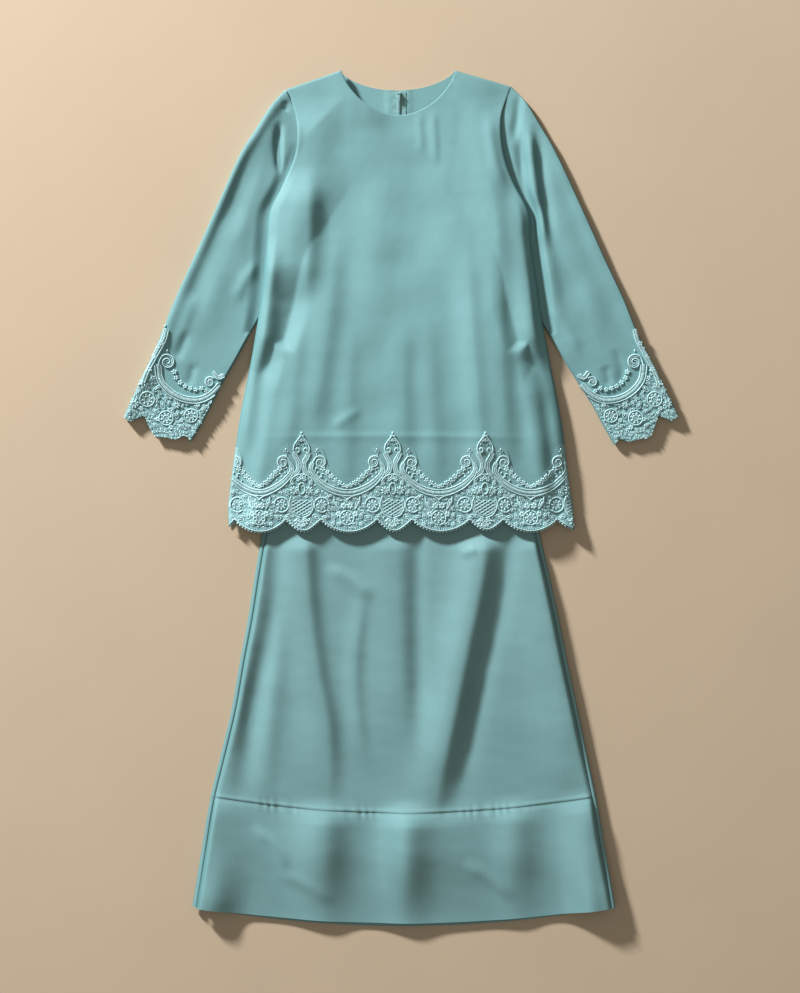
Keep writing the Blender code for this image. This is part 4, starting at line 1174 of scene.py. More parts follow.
def evenly(path, step):
    path = np.asarray(path, float)
    lengths = np.concatenate(([0.0], np.cumsum(np.linalg.norm(np.diff(path, axis=0), axis=1))))
    count = max(int(round(lengths[-1] / step)), 2)
    at = np.linspace(0.0, lengths[-1], count + 1)
    return np.column_stack([np.interp(at, lengths, path[:, axis]) for axis in range(path.shape[1])])


def new_pattern():
    return {"thick": [], "fine": [], "curls": [], "petals": [], "seeds": [], "filler": []}


def add_petal(pattern, x, y, length, width, turn):
    pattern["petals"].append((x, y, length, width, turn))


def add_floret(pattern, x, y, radius, petals=6, turn=0.0):
    """An open flower: petals round a knot."""
    for step in range(petals):
        angle = turn + 2.0 * math.pi * step / petals
        reach = 0.60 * radius
        add_petal(pattern, x + reach * math.cos(angle), y + reach * math.sin(angle),
                  0.98 * radius, 0.74 * radius, angle)
    pattern["seeds"].append((x, y, 0.5 * radius, 0.5 * radius, 0.0))


def add_rose(pattern, x, y, radius, turn=0.0):
    """A rose: rings of cord with petals between them."""
    pattern["thick"].append(ring_path(x, y, 0.62 * radius))
    pattern["fine"].append(ring_path(x, y, 0.30 * radius))
    pattern["seeds"].append((x, y, 0.26 * radius, 0.26 * radius, 0.0))
    for step in range(8):
        angle = turn + 2.0 * math.pi * step / 8
        add_petal(pattern, x + 0.98 * radius * math.cos(angle), y + 0.98 * radius * math.sin(angle),
                  0.62 * radius, 0.52 * radius, angle + 0.5 * math.pi)


def add_leaf(pattern, x, y, length, width, turn):
    """A leaf: a cord round it and a raised blade."""
    share = np.linspace(0.0, 2.0 * math.pi, 12)
    along = 0.5 * length * np.cos(share)
    across = 0.5 * width * np.sin(share) * (1.0 - 0.35 * np.cos(share))
    c, s = math.cos(turn), math.sin(turn)
    pattern["fine"].append(np.column_stack((x + along * c - across * s, y + along * s + across * c)))
    add_petal(pattern, x, y, 0.72 * length, 0.46 * width, turn)


def add_band(pattern, path, width, pitch=2.1):
    """A raised band: a cord on each side and satin stitches laid across between them."""
    path = evenly(smooth_path(path), 2.4)
    width = np.broadcast_to(np.asarray(width, float), (len(path),))
    for side in (-1.0, 1.0):
        pattern["thick"].append(beside(path, side * 0.5 * width))
    line = evenly(path, pitch)
    wide = np.interp(np.linspace(0, 1, len(line)), np.linspace(0, 1, len(path)), width)
    run = np.gradient(line, axis=0)
    for (x, y), across, (run_x, run_y) in zip(line, wide, run):
        pattern["seeds"].append((x, y, across, 1.9, math.atan2(run_x, -run_y)))


def hem_half(pattern, peak, side, half):
    """Half of one repeat, from a peak's middle to the middle of the dip beside it."""

    def place(points):
        points = np.array(points, float).reshape(-1, 2)
        u = points[:, 0]
        u = np.where(u > 45.0, 45.0 + (u - 45.0) * (half - 45.0) / 32.5, u)
        return np.column_stack((peak + side * u, points[:, 1]))

    def spot(u, v):
        return tuple(place([(u, v)])[0])

    def turned(angle):
        return angle if side > 0 else math.pi - angle

    thick, fine = pattern["thick"], pattern["fine"]
    # tip and its inward scroll
    thick.append(place(smooth_path([(0.5, 106), (7, 98), (12.5, 89), (13.5, 82)])))
    thick.append(place(spiral(7.6, 82.0, 6.0, 1.25, 0.0, -1)))
    fine.append(place(smooth_path([(0.5, 101), (5, 95), (9, 88.5)])))
    for u, v, size in ((4.5, 97.0, 2.4), (8.0, 92.5, 2.2), (3.6, 91.0, 2.2)):
        add_petal(pattern, *spot(u, v), size, 0.7 * size, turned(0.9))
    # waisted stem from the scroll to the medallion
    add_band(pattern, place([(12.4, 77), (9.0, 69), (4.6, 61), (4.4, 52), (7.4, 44), (12, 40)]), 6.2)
    # large scroll with its bud, and the band that sweeps down to the dip
    thick.append(place(spiral(31.5, 61.0, 11.0, 1.6, 2.2, -1)))
    fine.append(place(spiral(31.5, 61.0, 8.6, 1.1, 2.2, -1)))
    fine.append(place([(25.5, 71.5), (26.2, 77.5)]))
    add_petal(pattern, *spot(26.5, 82.5), 4.6, 2.8, turned(1.5))
    add_petal(pattern, *spot(23.8, 79.2), 2.8, 1.8, turned(2.4))
    add_petal(pattern, *spot(29.0, 79.2), 2.8, 1.8, turned(0.7))
    thick.append(place(smooth_path([(25.0, 70.0), (20.5, 63.5), (17.4, 57.0)])))
    sweep = place([(19.0, 60), (15.8, 51), (18.5, 41.5), (27, 31), (39, 21), (53, 14), (66, 10.2), (77.5, 9.2)])
    share = np.linspace(0.0, 1.0, len(evenly(smooth_path(sweep), 2.4)))
    add_band(pattern, sweep, 4.4 + 5.6 * np.sin(0.5 * math.pi * np.clip(share * 1.3, 0, 1)))
    thick.append(place(smooth_path([(52, 8.5), (62, 5.2), (68, 3.6), (73, 1.2), (77.5, -3.0)])))
    for u, v in ((58, 7.0), (65, 5.6), (71, 4.4), (75.5, 3.0), (76.5, 0.6)):
        pattern["seeds"].append(spot(u, v) + (1.5, 1.0, turned(-0.4)))
    # garland of small flowers
    for u, v, size in ((36.5, 49.5, 5.0), (43.8, 44.0, 4.2), (50.5, 37.0, 4.8), (57.5, 31.0, 4.2),
                       (64.5, 26.0, 4.6), (71.5, 21.8, 4.0), (77.0, 19.5, 3.4)):
        add_floret(pattern, *spot(u, v), size, 5, turned(0.3 * u))
    for u, v, size in ((27.5, 43.0, 3.4), (34.0, 36.5, 3.2), (41.5, 30.0, 3.0), (24.8, 51.0, 3.0)):
        add_petal(pattern, *spot(u, v), size * 1.5, size * 0.8, turned(1.2))
    fine.append(place(smooth_path([(22.5, 44), (25.5, 52), (30, 49)])))
    fine.append(place(smooth_path([(30, 33), (36, 42), (44, 37.5), (52, 30), (62, 21.5)])))
    # medallion: arch, roses and trellis
    thick.append(place(ring_path(0.0, 26.0, 18.6, 14.5, 0.12, 0.5 * math.pi)))
    fine.append(place(ring_path(0.0, 26.0, 15.4, 11.0, 0.2, 0.5 * math.pi)))
    thick.append(place(ring_path(0.0, 16.5, 5.6, 9.6, -0.5 * math.pi, 0.5 * math.pi)))
    for angle in (0.35, 0.75, 1.15, 1.5):
        x, y = spot(17.0 * math.cos(angle), 25.5 + 12.6 * math.sin(angle))
        add_petal(pattern, x, y, 3.4, 2.0, turned(angle))
    add_floret(pattern, *spot(5.2, 31.5), 3.8, 5)
    add_rose(pattern, *spot(12.6, 13.5), 6.2)
    add_floret(pattern, *spot(15.6, 25.0), 3.6, 5)
    for offset in np.arange(-18.0, 22.0, 5.8):
        for slope in (0.62, -0.62):
            u = np.linspace(0.0, 18.5, 12)
            v = offset + slope * u - 14.0
            kept = (v < -1.0 - 0.1 * u) & (v > -30.0 + 0.35 * u)
            if kept.sum() > 2:
                fine.append(place(np.column_stack((u[kept], v[kept]))))
    thick.append(place(smooth_path([(17.5, 3), (20.5, -6), (19.5, -17), (13.0, -28), (2.0, -33)])))
    fine.append(place(smooth_path([(16.0, 0), (17.8, -8), (16.5, -17), (10.5, -25), (1.0, -29.5)])))
    # shell in the narrow scallop
    for angle, reach in ((-1.45, 11.0), (-1.05, 11.5), (-0.62, 11.5), (-0.2, 11.0)):
        x, y = spot(reach * math.cos(angle), -36.0 + reach * math.sin(angle))
        add_petal(pattern, x, y, 7.0, 3.8, turned(angle))
    add_floret(pattern, *spot(6.0, -36.5), 4.4, 6)
    # side flower with its leaves
    add_rose(pattern, *spot(34.0, -11.0), 7.4)
    for angle in (0.2, 1.2, 2.2, 3.3, 4.3, 5.3):
        x, y = spot(34.0 + 12.2 * math.cos(angle), -11.0 + 12.0 * math.sin(angle))
        add_petal(pattern, x, y, 5.4, 3.2, turned(angle + 1.3))
    thick.append(place(ring_path(34.0, -11.0, 12.4, 12.8, 0.4, 5.2)))
    add_leaf(pattern, *spot(26.5, 9.5), 12.0, 6.0, turned(1.0))
    add_leaf(pattern, *spot(46.0, 2.5), 12.0, 5.0, turned(0.5))
    add_leaf(pattern, *spot(24.5, -31.5), 13.0, 6.0, turned(-0.5))
    add_leaf(pattern, *spot(41.0, -32.5), 13.0, 6.0, turned(0.3))
    # dip: tulip leaves, paired flowers, and a rose in the wide scallop
    add_leaf(pattern, *spot(59.5, -9.0), 17.0, 6.4, turned(-1.15))
    thick.append(place(smooth_path([(55.0, 3.0), (57.0, -8.0), (64.0, -18.0)])))
    add_floret(pattern, *spot(72.0, -13.0), 5.6, 6, turned(0.4))
    add_floret(pattern, *spot(63.0, -27.0), 5.2, 6, turned(0.1))
    add_leaf(pattern, *spot(53.5, -30.0), 11.0, 5.6, turned(1.9))
    add_leaf(pattern, *spot(65.5, -43.0), 11.0, 5.0, turned(0.15))
    add_floret(pattern, *spot(53.0, -43.5), 3.8, 5)
    thick.append(place(ring_path(77.5, -33.0, 12.0, 12.0, 1.7, 4.6)))


def hem_pattern(filler):
    """The whole hem's pattern, from side to side."""
    pattern = new_pattern()
    gaps = np.diff(LACE_PEAKS)
    for index, peak in enumerate(LACE_PEAKS):
        if index < len(gaps):
            hem_half(pattern, peak, 1.0, 0.5 * gaps[index])
            add_rose(pattern, peak + 0.5 * gaps[index], -33.0, 8.0)
            add_petal(pattern, peak + 0.5 * gaps[index], -2.0, 5.0, 3.0, 1.571)
        if index > 0:
            hem_half(pattern, peak, -1.0, 0.5 * gaps[index - 1])
        add_petal(pattern, peak, 110.0, 6.0, 3.4, 1.571)
        add_petal(pattern, peak - 3.0, 106.0, 3.6, 2.2, 2.4)
        add_petal(pattern, peak + 3.0, 106.0, 3.6, 2.2, 0.7)
        add_floret(pattern, peak, 98.0, 3.2, 5)
        add_floret(pattern, peak, 35.0, 4.2, 6)
        add_rose(pattern, peak, -43.0, 5.4)
    x = np.linspace(HEM_LEFT, HEM_RIGHT, 500)
    y = hem_height(x)
    pattern["thick"].append(beside(np.column_stack((x, y)), 2.4))
    for px, py in beside(evenly(np.column_stack((x, y)), 5.6), 0.2):
        add_petal(pattern, px, py, 4.4, 4.0, 0.0)
    for px, py in beside(evenly(np.column_stack((x, y)), 4.2), 5.0):
        pattern["seeds"].append((px, py, 2.6, 1.9, 1.2))
    region = (HEM_LEFT, HEM_RIGHT, -60.0, 22.0)
    fill_pattern(pattern, filler, filler < FILLER_BACK, region, lambda px, py: py > hem_height(px) + 6.0)
    return pattern


def fill_pattern(pattern, pitch, curls, region, wanted):
    """Small leaves, with curls if wanted, where the main flowers leave the net bare."""
    chance = np.random.default_rng(21)
    taken = [np.array(pattern["petals"])[:, :2], np.array(pattern["seeds"])[:, :2]]
    taken += [evenly(path, 2.5) for path in pattern["thick"] + pattern["fine"]]
    taken = np.concatenate(taken)
    left, right, low, high = region
    row = 0
    y = low
    while y < high:
        x = left + (0.5 * pitch if row % 2 else 0.0)
        while x < right:
            px = x + chance.uniform(-0.3, 0.3) * pitch
            py = y + chance.uniform(-0.3, 0.3) * pitch
            size = chance.uniform(0.75, 1.25)
            turn = chance.uniform(0.0, math.pi)
            near = np.min(np.hypot(taken[:, 0] - px, taken[:, 1] - py))
            if near > 2.6 and wanted(np.array([px]), np.array([py]))[0]:
                pattern["filler"].append((px, py, 6.0 * size, 2.4 * size, turn))
                if curls:
                    reach = 2.9 * size
                    pattern["curls"].append(ring_path(px, py, reach, 0.8 * reach, turn, turn + 4.2))
            x += pitch
        y += 0.87 * pitch
        row += 1


def cuff_pattern(side, filler):
    """A cuff's pattern, drawn for the right arm and turned over for the left one."""
    pattern = new_pattern()
    thick, fine = pattern["thick"], pattern["fine"]
    thick.append(spiral(396.0, 231.0, 13.4, 1.7, 0.9, 1))
    fine.append(spiral(396.0, 231.0, 10.6, 1.2, 0.9, 1))
    thick.append(smooth_path([(404.3, 241.5), (409, 233), (411, 222)]))
    thick.append(spiral(324.0, 197.0, 9.4, 1.6, 2.4, -1))
    fine.append(spiral(324.0, 197.0, 7.2, 1.1, 2.4, -1))
    add_band(pattern, [(412, 226), (408, 201), (391, 180), (366, 168), (340, 167), (318, 179), (306, 192)], 10.0)
    add_band(pattern, [(397, 286), (401, 270), (411, 251), (421, 233), (431, 214), (438, 196)], 7.6)
    add_band(pattern, [(300, 208), (309, 204), (318, 214)], 5.0)
    add_petal(pattern, 399.0, 292.0, 6.0, 3.4, 2.0)
    add_petal(pattern, 406.0, 281.0, 4.4, 2.8, 0.6)
    add_petal(pattern, 396.0, 250.0, 5.0, 3.0, 1.9)
    add_petal(pattern, 305.0, 209.0, 5.0, 3.0, 2.0)
    for x, y, size in ((384, 214, 4.8), (381, 204, 4.4), (374, 196, 4.6), (366, 190, 4.2), (357, 186, 4.4),
                       (348, 184, 4.2), (338, 186, 4.2), (330, 182, 3.6), (405, 262, 4.6), (414, 256, 4.0),
                       (418, 240, 4.4), (426, 218, 5.2), (441, 196, 6.0), (420, 204, 4.4)):
        add_floret(pattern, x, y, size, 5, 0.2 * x)
    for x, y, size in ((398, 136, 8.0), (430, 168, 8.4), (356, 140, 7.6), (452, 160, 6.4), (380, 158, 5.0)):
        add_rose(pattern, x, y, size, 0.1 * x)
    thick.append(ring_path(430.0, 168.0, 12.6))
    thick.append(ring_path(398.0, 136.0, 12.2))
    thick.append(ring_path(356.0, 140.0, 11.4))
    for x, y, length, width, turn in (
        (414, 186, 15, 6, 2.3), (404, 158, 14, 6, 1.2), (379, 142, 14, 6, 1.8), (416, 148, 12, 5, 0.4),
        (336, 150, 13, 6, 2.4), (340, 128, 13, 5.5, 0.6), (444, 180, 12, 5, 2.0), (374, 122, 12, 5, 0.3),
        (322, 162, 11, 5, 2.2), (350, 112, 12, 5, 0.3), (436, 144, 12, 5, 0.9), (460, 146, 10, 4.6, 1.9),
        (418, 124, 11, 5, 0.4), (366, 104, 10, 4.6, 0.4),
    ):
        add_leaf(pattern, x, y, length, width, turn)
    for x, y, size in ((390, 120, 4.4), (412, 134, 4.2), (372, 132, 4.0), (440, 152, 4.2), (344, 158, 4.2)):
        add_floret(pattern, x, y, size, 6, 0.3 * x)
    region = (300.0, 480.0, 84.0, 215.0)
    fill_pattern(pattern, filler, filler < FILLER_BACK, region, cuff_band_below)
    if side < 0:
        for key in ("thick", "fine", "curls"):
            pattern[key] = [path * np.array((-1.0, 1.0)) for path in pattern[key]]
        for key in ("petals", "seeds", "filler"):
            pattern[key] = [(-x, y, length, width, math.pi - turn) for x, y, length, width, turn in pattern[key]]
    return pattern


def cuff_band_below(x, y):
    """Below the swept band of a cuff."""
    line = np.interp(x, (300, 318, 340, 366, 391, 408, 425, 480), (188, 172, 160, 161, 173, 192, 215, 215))
    return y < line


def geometry_tree(name, inputs):
    tree = bpy.data.node_groups.new(name, "GeometryNodeTree")
    tree.interface.new_socket("Geometry", in_out="INPUT", socket_type="NodeSocketGeometry")
    for label, kind in inputs:
        tree.interface.new_socket(label, in_out="INPUT", socket_type="NodeSocket" + kind)
    tree.interface.new_socket("Geometry", in_out="OUTPUT", socket_type="NodeSocketGeometry")
    start = tree.nodes.new("NodeGroupInput")
    end = tree.nodes.new("NodeGroupOutput")
    return tree, start, end


def finish_tree(tree, start, end, made):
    real = tree.nodes.new("GeometryNodeRealizeInstances")
    soft = tree.nodes.new("GeometryNodeSetShadeSmooth")
    look = tree.nodes.new("GeometryNodeSetMaterial")
    tree.links.new(made, real.inputs["Geometry"])
    tree.links.new(real.outputs["Geometry"], soft.inputs["Geometry"])
    tree.links.new(soft.outputs["Geometry"], look.inputs["Geometry"])
    tree.links.new(start.outputs["Look"], look.inputs["Material"])
    tree.links.new(look.outputs["Geometry"], end.inputs["Geometry"])
    return tree


def cord_tree():
    """Round cord along the edges of a wire."""
    tree, start, end = geometry_tree(
        "lay_cord", (("Thickness", "Float"), ("Sides", "Int"), ("Look", "Material")))
    curve = tree.nodes.new("GeometryNodeMeshToCurve")
    ring = tree.nodes.new("GeometryNodeCurvePrimitiveCircle")
    tube = tree.nodes.new("GeometryNodeCurveToMesh")
    half = tree.nodes.new("ShaderNodeMath")
    half.operation = "MULTIPLY"
    half.inputs[1].default_value = 0.5
    tube.inputs["Fill Caps"].default_value = True
    tree.links.new(start.outputs["Geometry"], curve.inputs["Mesh"])
    tree.links.new(start.outputs["Thickness"], half.inputs[0])
    tree.links.new(half.outputs[0], ring.inputs["Radius"])
    tree.links.new(start.outputs["Sides"], ring.inputs["Resolution"])
    tree.links.new(curve.outputs["Curve"], tube.inputs["Curve"])
    tree.links.new(ring.outputs["Curve"], tube.inputs["Profile Curve"])
    return finish_tree(tree, start, end, tube.outputs["Mesh"])


def petal_tree():
    """A raised stitch on each point, sized and turned by the point's own values."""
    tree, start, end = geometry_tree(
        "sew_petals", (("Segments", "Int"), ("Rings", "Int"), ("Look", "Material")))
    form = tree.nodes.new("GeometryNodeMeshUVSphere")
    form.inputs["Radius"].default_value = 1.0
    placed = tree.nodes.new("GeometryNodeInstanceOnPoints")
    tree.links.new(start.outputs["Geometry"], placed.inputs["Points"])
    tree.links.new(start.outputs["Segments"], form.inputs["Segments"])
    tree.links.new(start.outputs["Rings"], form.inputs["Rings"])
    tree.links.new(form.outputs["Mesh"], placed.inputs["Instance"])
    for name, socket in (("turn", "Rotation"), ("size", "Scale")):
        value = tree.nodes.new("GeometryNodeInputNamedAttribute")
        value.data_type = "FLOAT_VECTOR"
        value.inputs["Name"].default_value = name
        tree.links.new(value.outputs["Attribute"], placed.inputs[socket])
    return finish_tree(tree, start, end, placed.outputs["Instances"])


def run_tree(tree, mesh, values):
    """The plain mesh that a tree makes from a mesh."""
    worker = bpy.data.objects.new("worker", mesh)
    bpy.context.scene.collection.objects.link(worker)
    maker = worker.modifiers.new("make", "NODES")
    maker.node_group = tree
    for item in tree.interface.items_tree:
        if item.in_out == "INPUT" and item.name in values:
            maker[item.identifier] = values[item.name]
    seen = worker.evaluated_get(bpy.context.evaluated_depsgraph_get())
    made = bpy.data.meshes.new_from_object(seen)
    bpy.data.objects.remove(worker, do_unlink=True)
    return made


def join_meshes(name, meshes, material):
    whole = bmesh.new()
    for mesh in meshes:
        whole.from_mesh(mesh)
    joined = bpy.data.meshes.new(name)
    whole.to_mesh(joined)
    whole.free()
    return add_piece(name, joined, material)


def cord_mesh(paths, thickness, sides, step, surface, wanted):
    """Cords along paths in the plan, laid on a surface where it is wanted."""
    paths = [evenly(path, step) for path in paths]
    which = np.repeat(np.arange(len(paths)), [len(path) for path in paths])
    places = np.concatenate(paths)
    kept = wanted(places[:, 0], places[:, 1])
    height = surface(places[:, 0], places[:, 1])
    number = np.cumsum(kept) - 1
    joined = kept[1:] & kept[:-1] & (which[1:] == which[:-1])
    edges = np.column_stack((number[:-1][joined], number[1:][joined])).tolist()
    verts = (np.column_stack((places, height))[kept] * MM).tolist()
    mesh = bpy.data.meshes.new("wire")
    mesh.from_pydata(verts, edges, [])
    return run_tree(CORD_TREE, mesh, {"Thickness": thickness * MM, "Sides": sides, "Look": cord_look})


def petal_mesh(petals, height, segments, rings, surface, wanted):
    """Raised stitches: place, length, width and turn in the plan."""
    table = np.array(petals, float)
    table = table[wanted(table[:, 0], table[:, 1])]
    z = surface(table[:, 0], table[:, 1])
    mesh = bpy.data.meshes.new("points")
    places = np.column_stack((table[:, 0], table[:, 1], z)) * MM
    mesh.from_pydata(places.tolist(), [], [])
    turn = np.column_stack((np.zeros(len(table)), np.zeros(len(table)), table[:, 4]))
    size = np.column_stack((0.5 * table[:, 2], 0.5 * table[:, 3], np.full(len(table), 0.5 * height))) * MM
    mesh.attributes.new("turn", "FLOAT_VECTOR", "POINT").data.foreach_set("vector", turn.ravel())
    mesh.attributes.new("size", "FLOAT_VECTOR", "POINT").data.foreach_set("vector", size.ravel())
    return run_tree(PETAL_TREE, mesh, {"Segments": segments, "Rings": rings, "Look": cord_look})


def embroider(name, pattern, surface, wanted, front):
    """All the raised work of one lace, as one piece. Under a back it is flat."""
    relief, sides, step = (1.0, 5, 1.9) if front else (0.44, 4, 2.6)
    meshes = [
        cord_mesh(pattern["thick"], 2.4 * relief, sides, step, surface, wanted),
        cord_mesh(pattern["fine"], 1.5 * relief, 4, step, surface, wanted),
        petal_mesh(pattern["petals"], 2.5 * relief, 6, 4, surface, wanted),
        petal_mesh(pattern["seeds"], 2.3 * relief, 5, 3, surface, wanted),
        petal_mesh(pattern["filler"], 0.9 * relief, 5, 3, surface, wanted),
    ]
    if pattern["curls"]:
        meshes.append(cord_mesh(pattern["curls"], 0.95 * relief, 4, step, surface, wanted))
    return join_meshes(name, meshes, cord_look)


def lace_top(x):
    nearest = np.min([np.abs(x - peak) for peak in LACE_PEAKS], axis=0)
    return spline(LACE_EDGE, nearest, 0, 1)


def make_hem_lace(front):
    """The lace round the hem, on the front's upper face or under the back."""
    drop = FRONT_NECK_DROP if front else BACK_NECK_DROP
    stations = np.linspace(HEM_LEFT + 0.8, HEM_RIGHT - 0.8, 280 if front else 200)
    share = np.linspace(0.0, 1.0, 26 if front else 14)
    top = lace_top(stations)
    for _ in range(4):
        x, y = body_plan(stations, top, drop)
        top = top + lace_top(x) - y
    heights = HEM_Y + (top[None, :] - HEM_Y) * share[:, None]
    x, y = body_plan(np.broadcast_to(stations, heights.shape), heights, drop)
    if front:
        points = np.dstack((x, y, front_top(x, y) + 0.55))

        def surface(px, py):
            return front_top(px, py) + 0.75
    else:
        points = np.dstack((x, y, tunic_floor(x, y) - 0.55))[:, ::-1]

        def surface(px, py):
            return tunic_floor(px, py) - 0.75

    def wanted(px, py):
        left, right = body_edges(py)
        return (px > left + 1.4) & (px < right - 1.4) & (py > hem_height(px) - 1.2)

    side = "front" if front else "back"
    ground = shell("lace_hem_net_" + side, points, 0.4, net)
    pattern = hem_pattern(FILLER_FRONT if front else FILLER_BACK)
    work = embroider("lace_hem_cords_" + side, pattern, surface, wanted, front)
    dress_lace(ground, work, "lace_hem_" + side)


def dress_lace(ground, work, node_name):
    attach(work, "garment")
    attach(ground, "garment")
    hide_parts(node_name)


def sleeve_place(rows, x, y, side):
    """Row and share of a sleeve at places of the plan near its cuff."""
    row = np.full(x.shape, len(rows) - 3.0)
    share = np.full(x.shape, 0.5)
    for _ in range(14):
        here_x, here_y = sleeve_plan(rows, row, share, side)
        back_x, back_y = sleeve_plan(rows, row - 0.05, share, side)
        over_x, over_y = sleeve_plan(rows, row, share + 0.01, side)
        row_x, row_y = (here_x - back_x) / 0.05, (here_y - back_y) / 0.05
        share_x, share_y = (over_x - here_x) / 0.01, (over_y - here_y) / 0.01
        size = row_x * share_y - share_x * row_y
        gap_x, gap_y = x - here_x, y - here_y
        row = np.clip(row + (share_y * gap_x - share_x * gap_y) / size, 1.0, len(rows) - 1.0)
        share = np.clip(share + (row_x * gap_y - row_y * gap_x) / size, -0.4, 1.4)
    here_x, here_y = sleeve_plan(rows, row, share, side)
    return row, share, np.hypot(x - here_x, y - here_y)


CUFF_LACE_EDGE = (
    (0.0, 100),
    (0.07, 86),
    (0.19, 74),
    (0.25, 52),
    (0.38, 36),
    (0.5, 31),
    (0.62, 32),
    (0.8, 46),
    (0.87, 66),
    (1.0, 84),
)


def make_cuff_lace(name, rows, creases, side, front):
    """The lace round a cuff, on the sleeve's upper face or under it."""
    last = len(rows) - 1
    share = np.linspace(0.012, 0.988, 84 if front else 50)
    up_x, up_y = sleeve_direction(rows)
    middles = [0.5 * np.array((row[0] + row[2], row[1] + row[3])) for row in rows]
    ups = [float((middle - middles[-1]) @ (up_x, up_y)) for middle in middles]
    top_row = np.interp(spline(CUFF_LACE_EDGE, share), ups[::-1], np.arange(last, -1.0, -1.0))
    part = np.linspace(0.0, 1.0, 28 if front else 14)
    row = last - (last - top_row)[None, :] * part[:, None]
    share = np.broadcast_to(share, row.shape)
    x, y, top, low = sleeve_heights(rows, row, share, side, creases)
    points = np.dstack((x, y, top + 0.55 if front else low - 0.55))
    if (side < 0) != front:
        points = points[:, ::-1]

    def surface(px, py):
        near_row, near_share, _ = sleeve_place(rows, px, py, side)
        _, _, high, under = sleeve_heights(rows, near_row, np.clip(near_share, 0.0, 1.0), side, creases)
        return high + 0.75 if front else under - 0.75

    def wanted(px, py):
        _, near_share, away = sleeve_place(rows, px, py, side)
        return (near_share > 0.012) & (near_share < 0.988) & (away < 0.8)

    face = "front" if front else "back"
    ground = shell("lace_cuff_net_%s_%s" % (name, face), points, 0.4, net)
    pattern = cuff_pattern(side, FILLER_FRONT if front else FILLER_BACK)
    work = embroider("lace_cuff_cords_%s_%s" % (name, face), pattern, surface, wanted, front)
    dress_lace(ground, work, "lace_cuff_%s_%s" % (name, face))


def make_zip():
    """Woven tapes with folded ends, and the coil between them."""
    y = np.concatenate((np.linspace(ZIP_BOTTOM_Y, 640.0, 30)[:-1], np.linspace(640.0, ZIP_TOP_Y, 40)))
    across = np.linspace(0.0, 1.0, 9)
    for name, side in (("left", -1.0), ("right", 1.0)):
        fold = smooth((y - 678.0) / 12.0)[:, None]
        away = 0.15 + TAPE_WIDTH * across[None, :]
        away = away + 3.0 * fold * (1.0 - across[None, :])
        height = TAPE_TOP + 0.5 * fold * (1.0 - across[None, :]) + 0.12 * np.cos(y / 2.6)[:, None]
        points = np.dstack((CENTRE_BACK + side * away, np.repeat(y[:, None], 9, axis=1), height))
        if side < 0:
            points = points[:, ::-1]
        tape = shell("woven_tape_" + name, points, 0.6, tape_look)
        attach(tape, "garment")
        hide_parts("zip_tape_" + name)
    count = int((CHAIN_TOP_Y - ZIP_BOTTOM_Y) / COIL_PITCH)
    coils = []
    for index in range(count):
        for side in (-1.0, 1.0):
            place = ZIP_BOTTOM_Y + (index + (0.25 if side > 0 else 0.75)) * COIL_PITCH
            coils.append((CENTRE_BACK + side * 0.9, place, 3.4, 1.25, 0.10 * side))

    def flat(px, py):
        return np.full(np.shape(px), TAPE_TOP + 0.9)

    def everywhere(px, py):
        return np.full(np.shape(px), True)

    rails = [np.array(((CENTRE_BACK + side * 2.6, ZIP_BOTTOM_Y), (CENTRE_BACK + side * 2.6, CHAIN_TOP_Y)))
             for side in (-1.0, 1.0)]
    meshes = [
        petal_mesh(coils, 1.9, 6, 4, flat, everywhere),
        cord_mesh(rails, 0.7, 5, 8.0, flat, everywhere),
    ]
    chain = join_meshes("nylon_coil", meshes, coil_look)
    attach(chain, "garment")
    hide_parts("zip_chain")


CORD_TREE = cord_tree()
PETAL_TREE = petal_tree()

make_front()
make_backs()
make_skirt()
make_hem_lace(True)
make_hem_lace(False)
for name, rows, creases, side in (
    ("left", LEFT_SLEEVE_ROWS, LEFT_SLEEVE_CREASES, -1),
    ("right", RIGHT_SLEEVE_ROWS, RIGHT_SLEEVE_CREASES, 1),
):
    make_sleeve(name, rows, creases, side)
    make_cuff_lace(name, rows, creases, side, True)
    make_cuff_lace(name, rows, creases, side, False)
make_zip()


# Zip metal keeps its own solid

for name in ("zip_slider", "zip_pull"):
    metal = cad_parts[name]
    for slot in metal.material_slots:
        slot.material = enamel


# Floor, light and camera

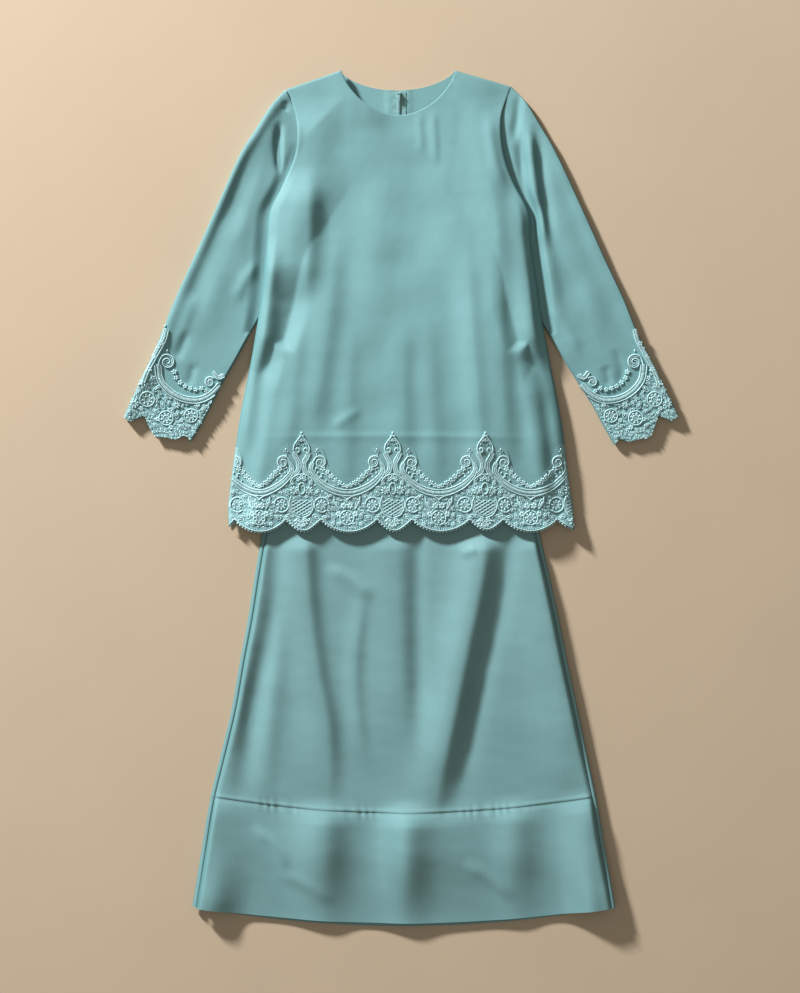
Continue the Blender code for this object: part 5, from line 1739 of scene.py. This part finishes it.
floor_mesh = bpy.data.meshes.new("plain_floor")
reach = 4.0
floor_mesh.from_pydata(
    [(-reach, -reach, -0.0002), (reach, -reach, -0.0002), (reach, reach, -0.0002), (-reach, reach, -0.0002)],
    [],
    [(0, 1, 2, 3)],
)
floor = add_piece("plain_floor", floor_mesh, make_floor_look())

LIGHT_TURN = math.radians(130.0)
LIGHT_HEIGHT = math.radians(14.5)
LIGHT_DISTANCE = 6.8
LIGHT_SIZE = 0.62
LIGHT_POWER = 1180.0
LIGHT_COLOUR = (1.0, 0.985, 0.965)
FILL = 0.25
FILL_COLOUR = (1.0, 0.94, 0.82, 1.0)

lamp_data = bpy.data.lights.new("soft_key", "AREA")
lamp_data.shape = "DISK"
lamp_data.size = LIGHT_SIZE
lamp_data.energy = LIGHT_POWER
lamp_data.color = LIGHT_COLOUR
lamp = bpy.data.objects.new("soft_key", lamp_data)
lamp.location = (
    LIGHT_DISTANCE * math.cos(LIGHT_HEIGHT) * math.cos(LIGHT_TURN),
    LIGHT_DISTANCE * math.cos(LIGHT_HEIGHT) * math.sin(LIGHT_TURN),
    LIGHT_DISTANCE * math.sin(LIGHT_HEIGHT),
)
lamp.rotation_euler = (0.5 * math.pi - LIGHT_HEIGHT, 0.0, LIGHT_TURN + 0.5 * math.pi)
bpy.context.scene.collection.objects.link(lamp)

world = bpy.data.worlds.new("soft_fill")
world.use_nodes = True
world.node_tree.nodes["Background"].inputs["Color"].default_value = FILL_COLOUR
world.node_tree.nodes["Background"].inputs["Strength"].default_value = FILL
bpy.context.scene.world = world
bpy.context.scene.view_settings.view_transform = "Standard"

CAMERA_HEIGHT = 3.0
VIEW_HEIGHT = 1.688
camera_data = bpy.data.cameras.new("camera")
camera_data.sensor_width = 36.0
camera_data.lens = 36.0 * CAMERA_HEIGHT / VIEW_HEIGHT
camera = bpy.data.objects.new("camera", camera_data)
camera.location = (-0.0017, 0.0031, CAMERA_HEIGHT)
bpy.context.scene.collection.objects.link(camera)
bpy.context.scene.camera = camera
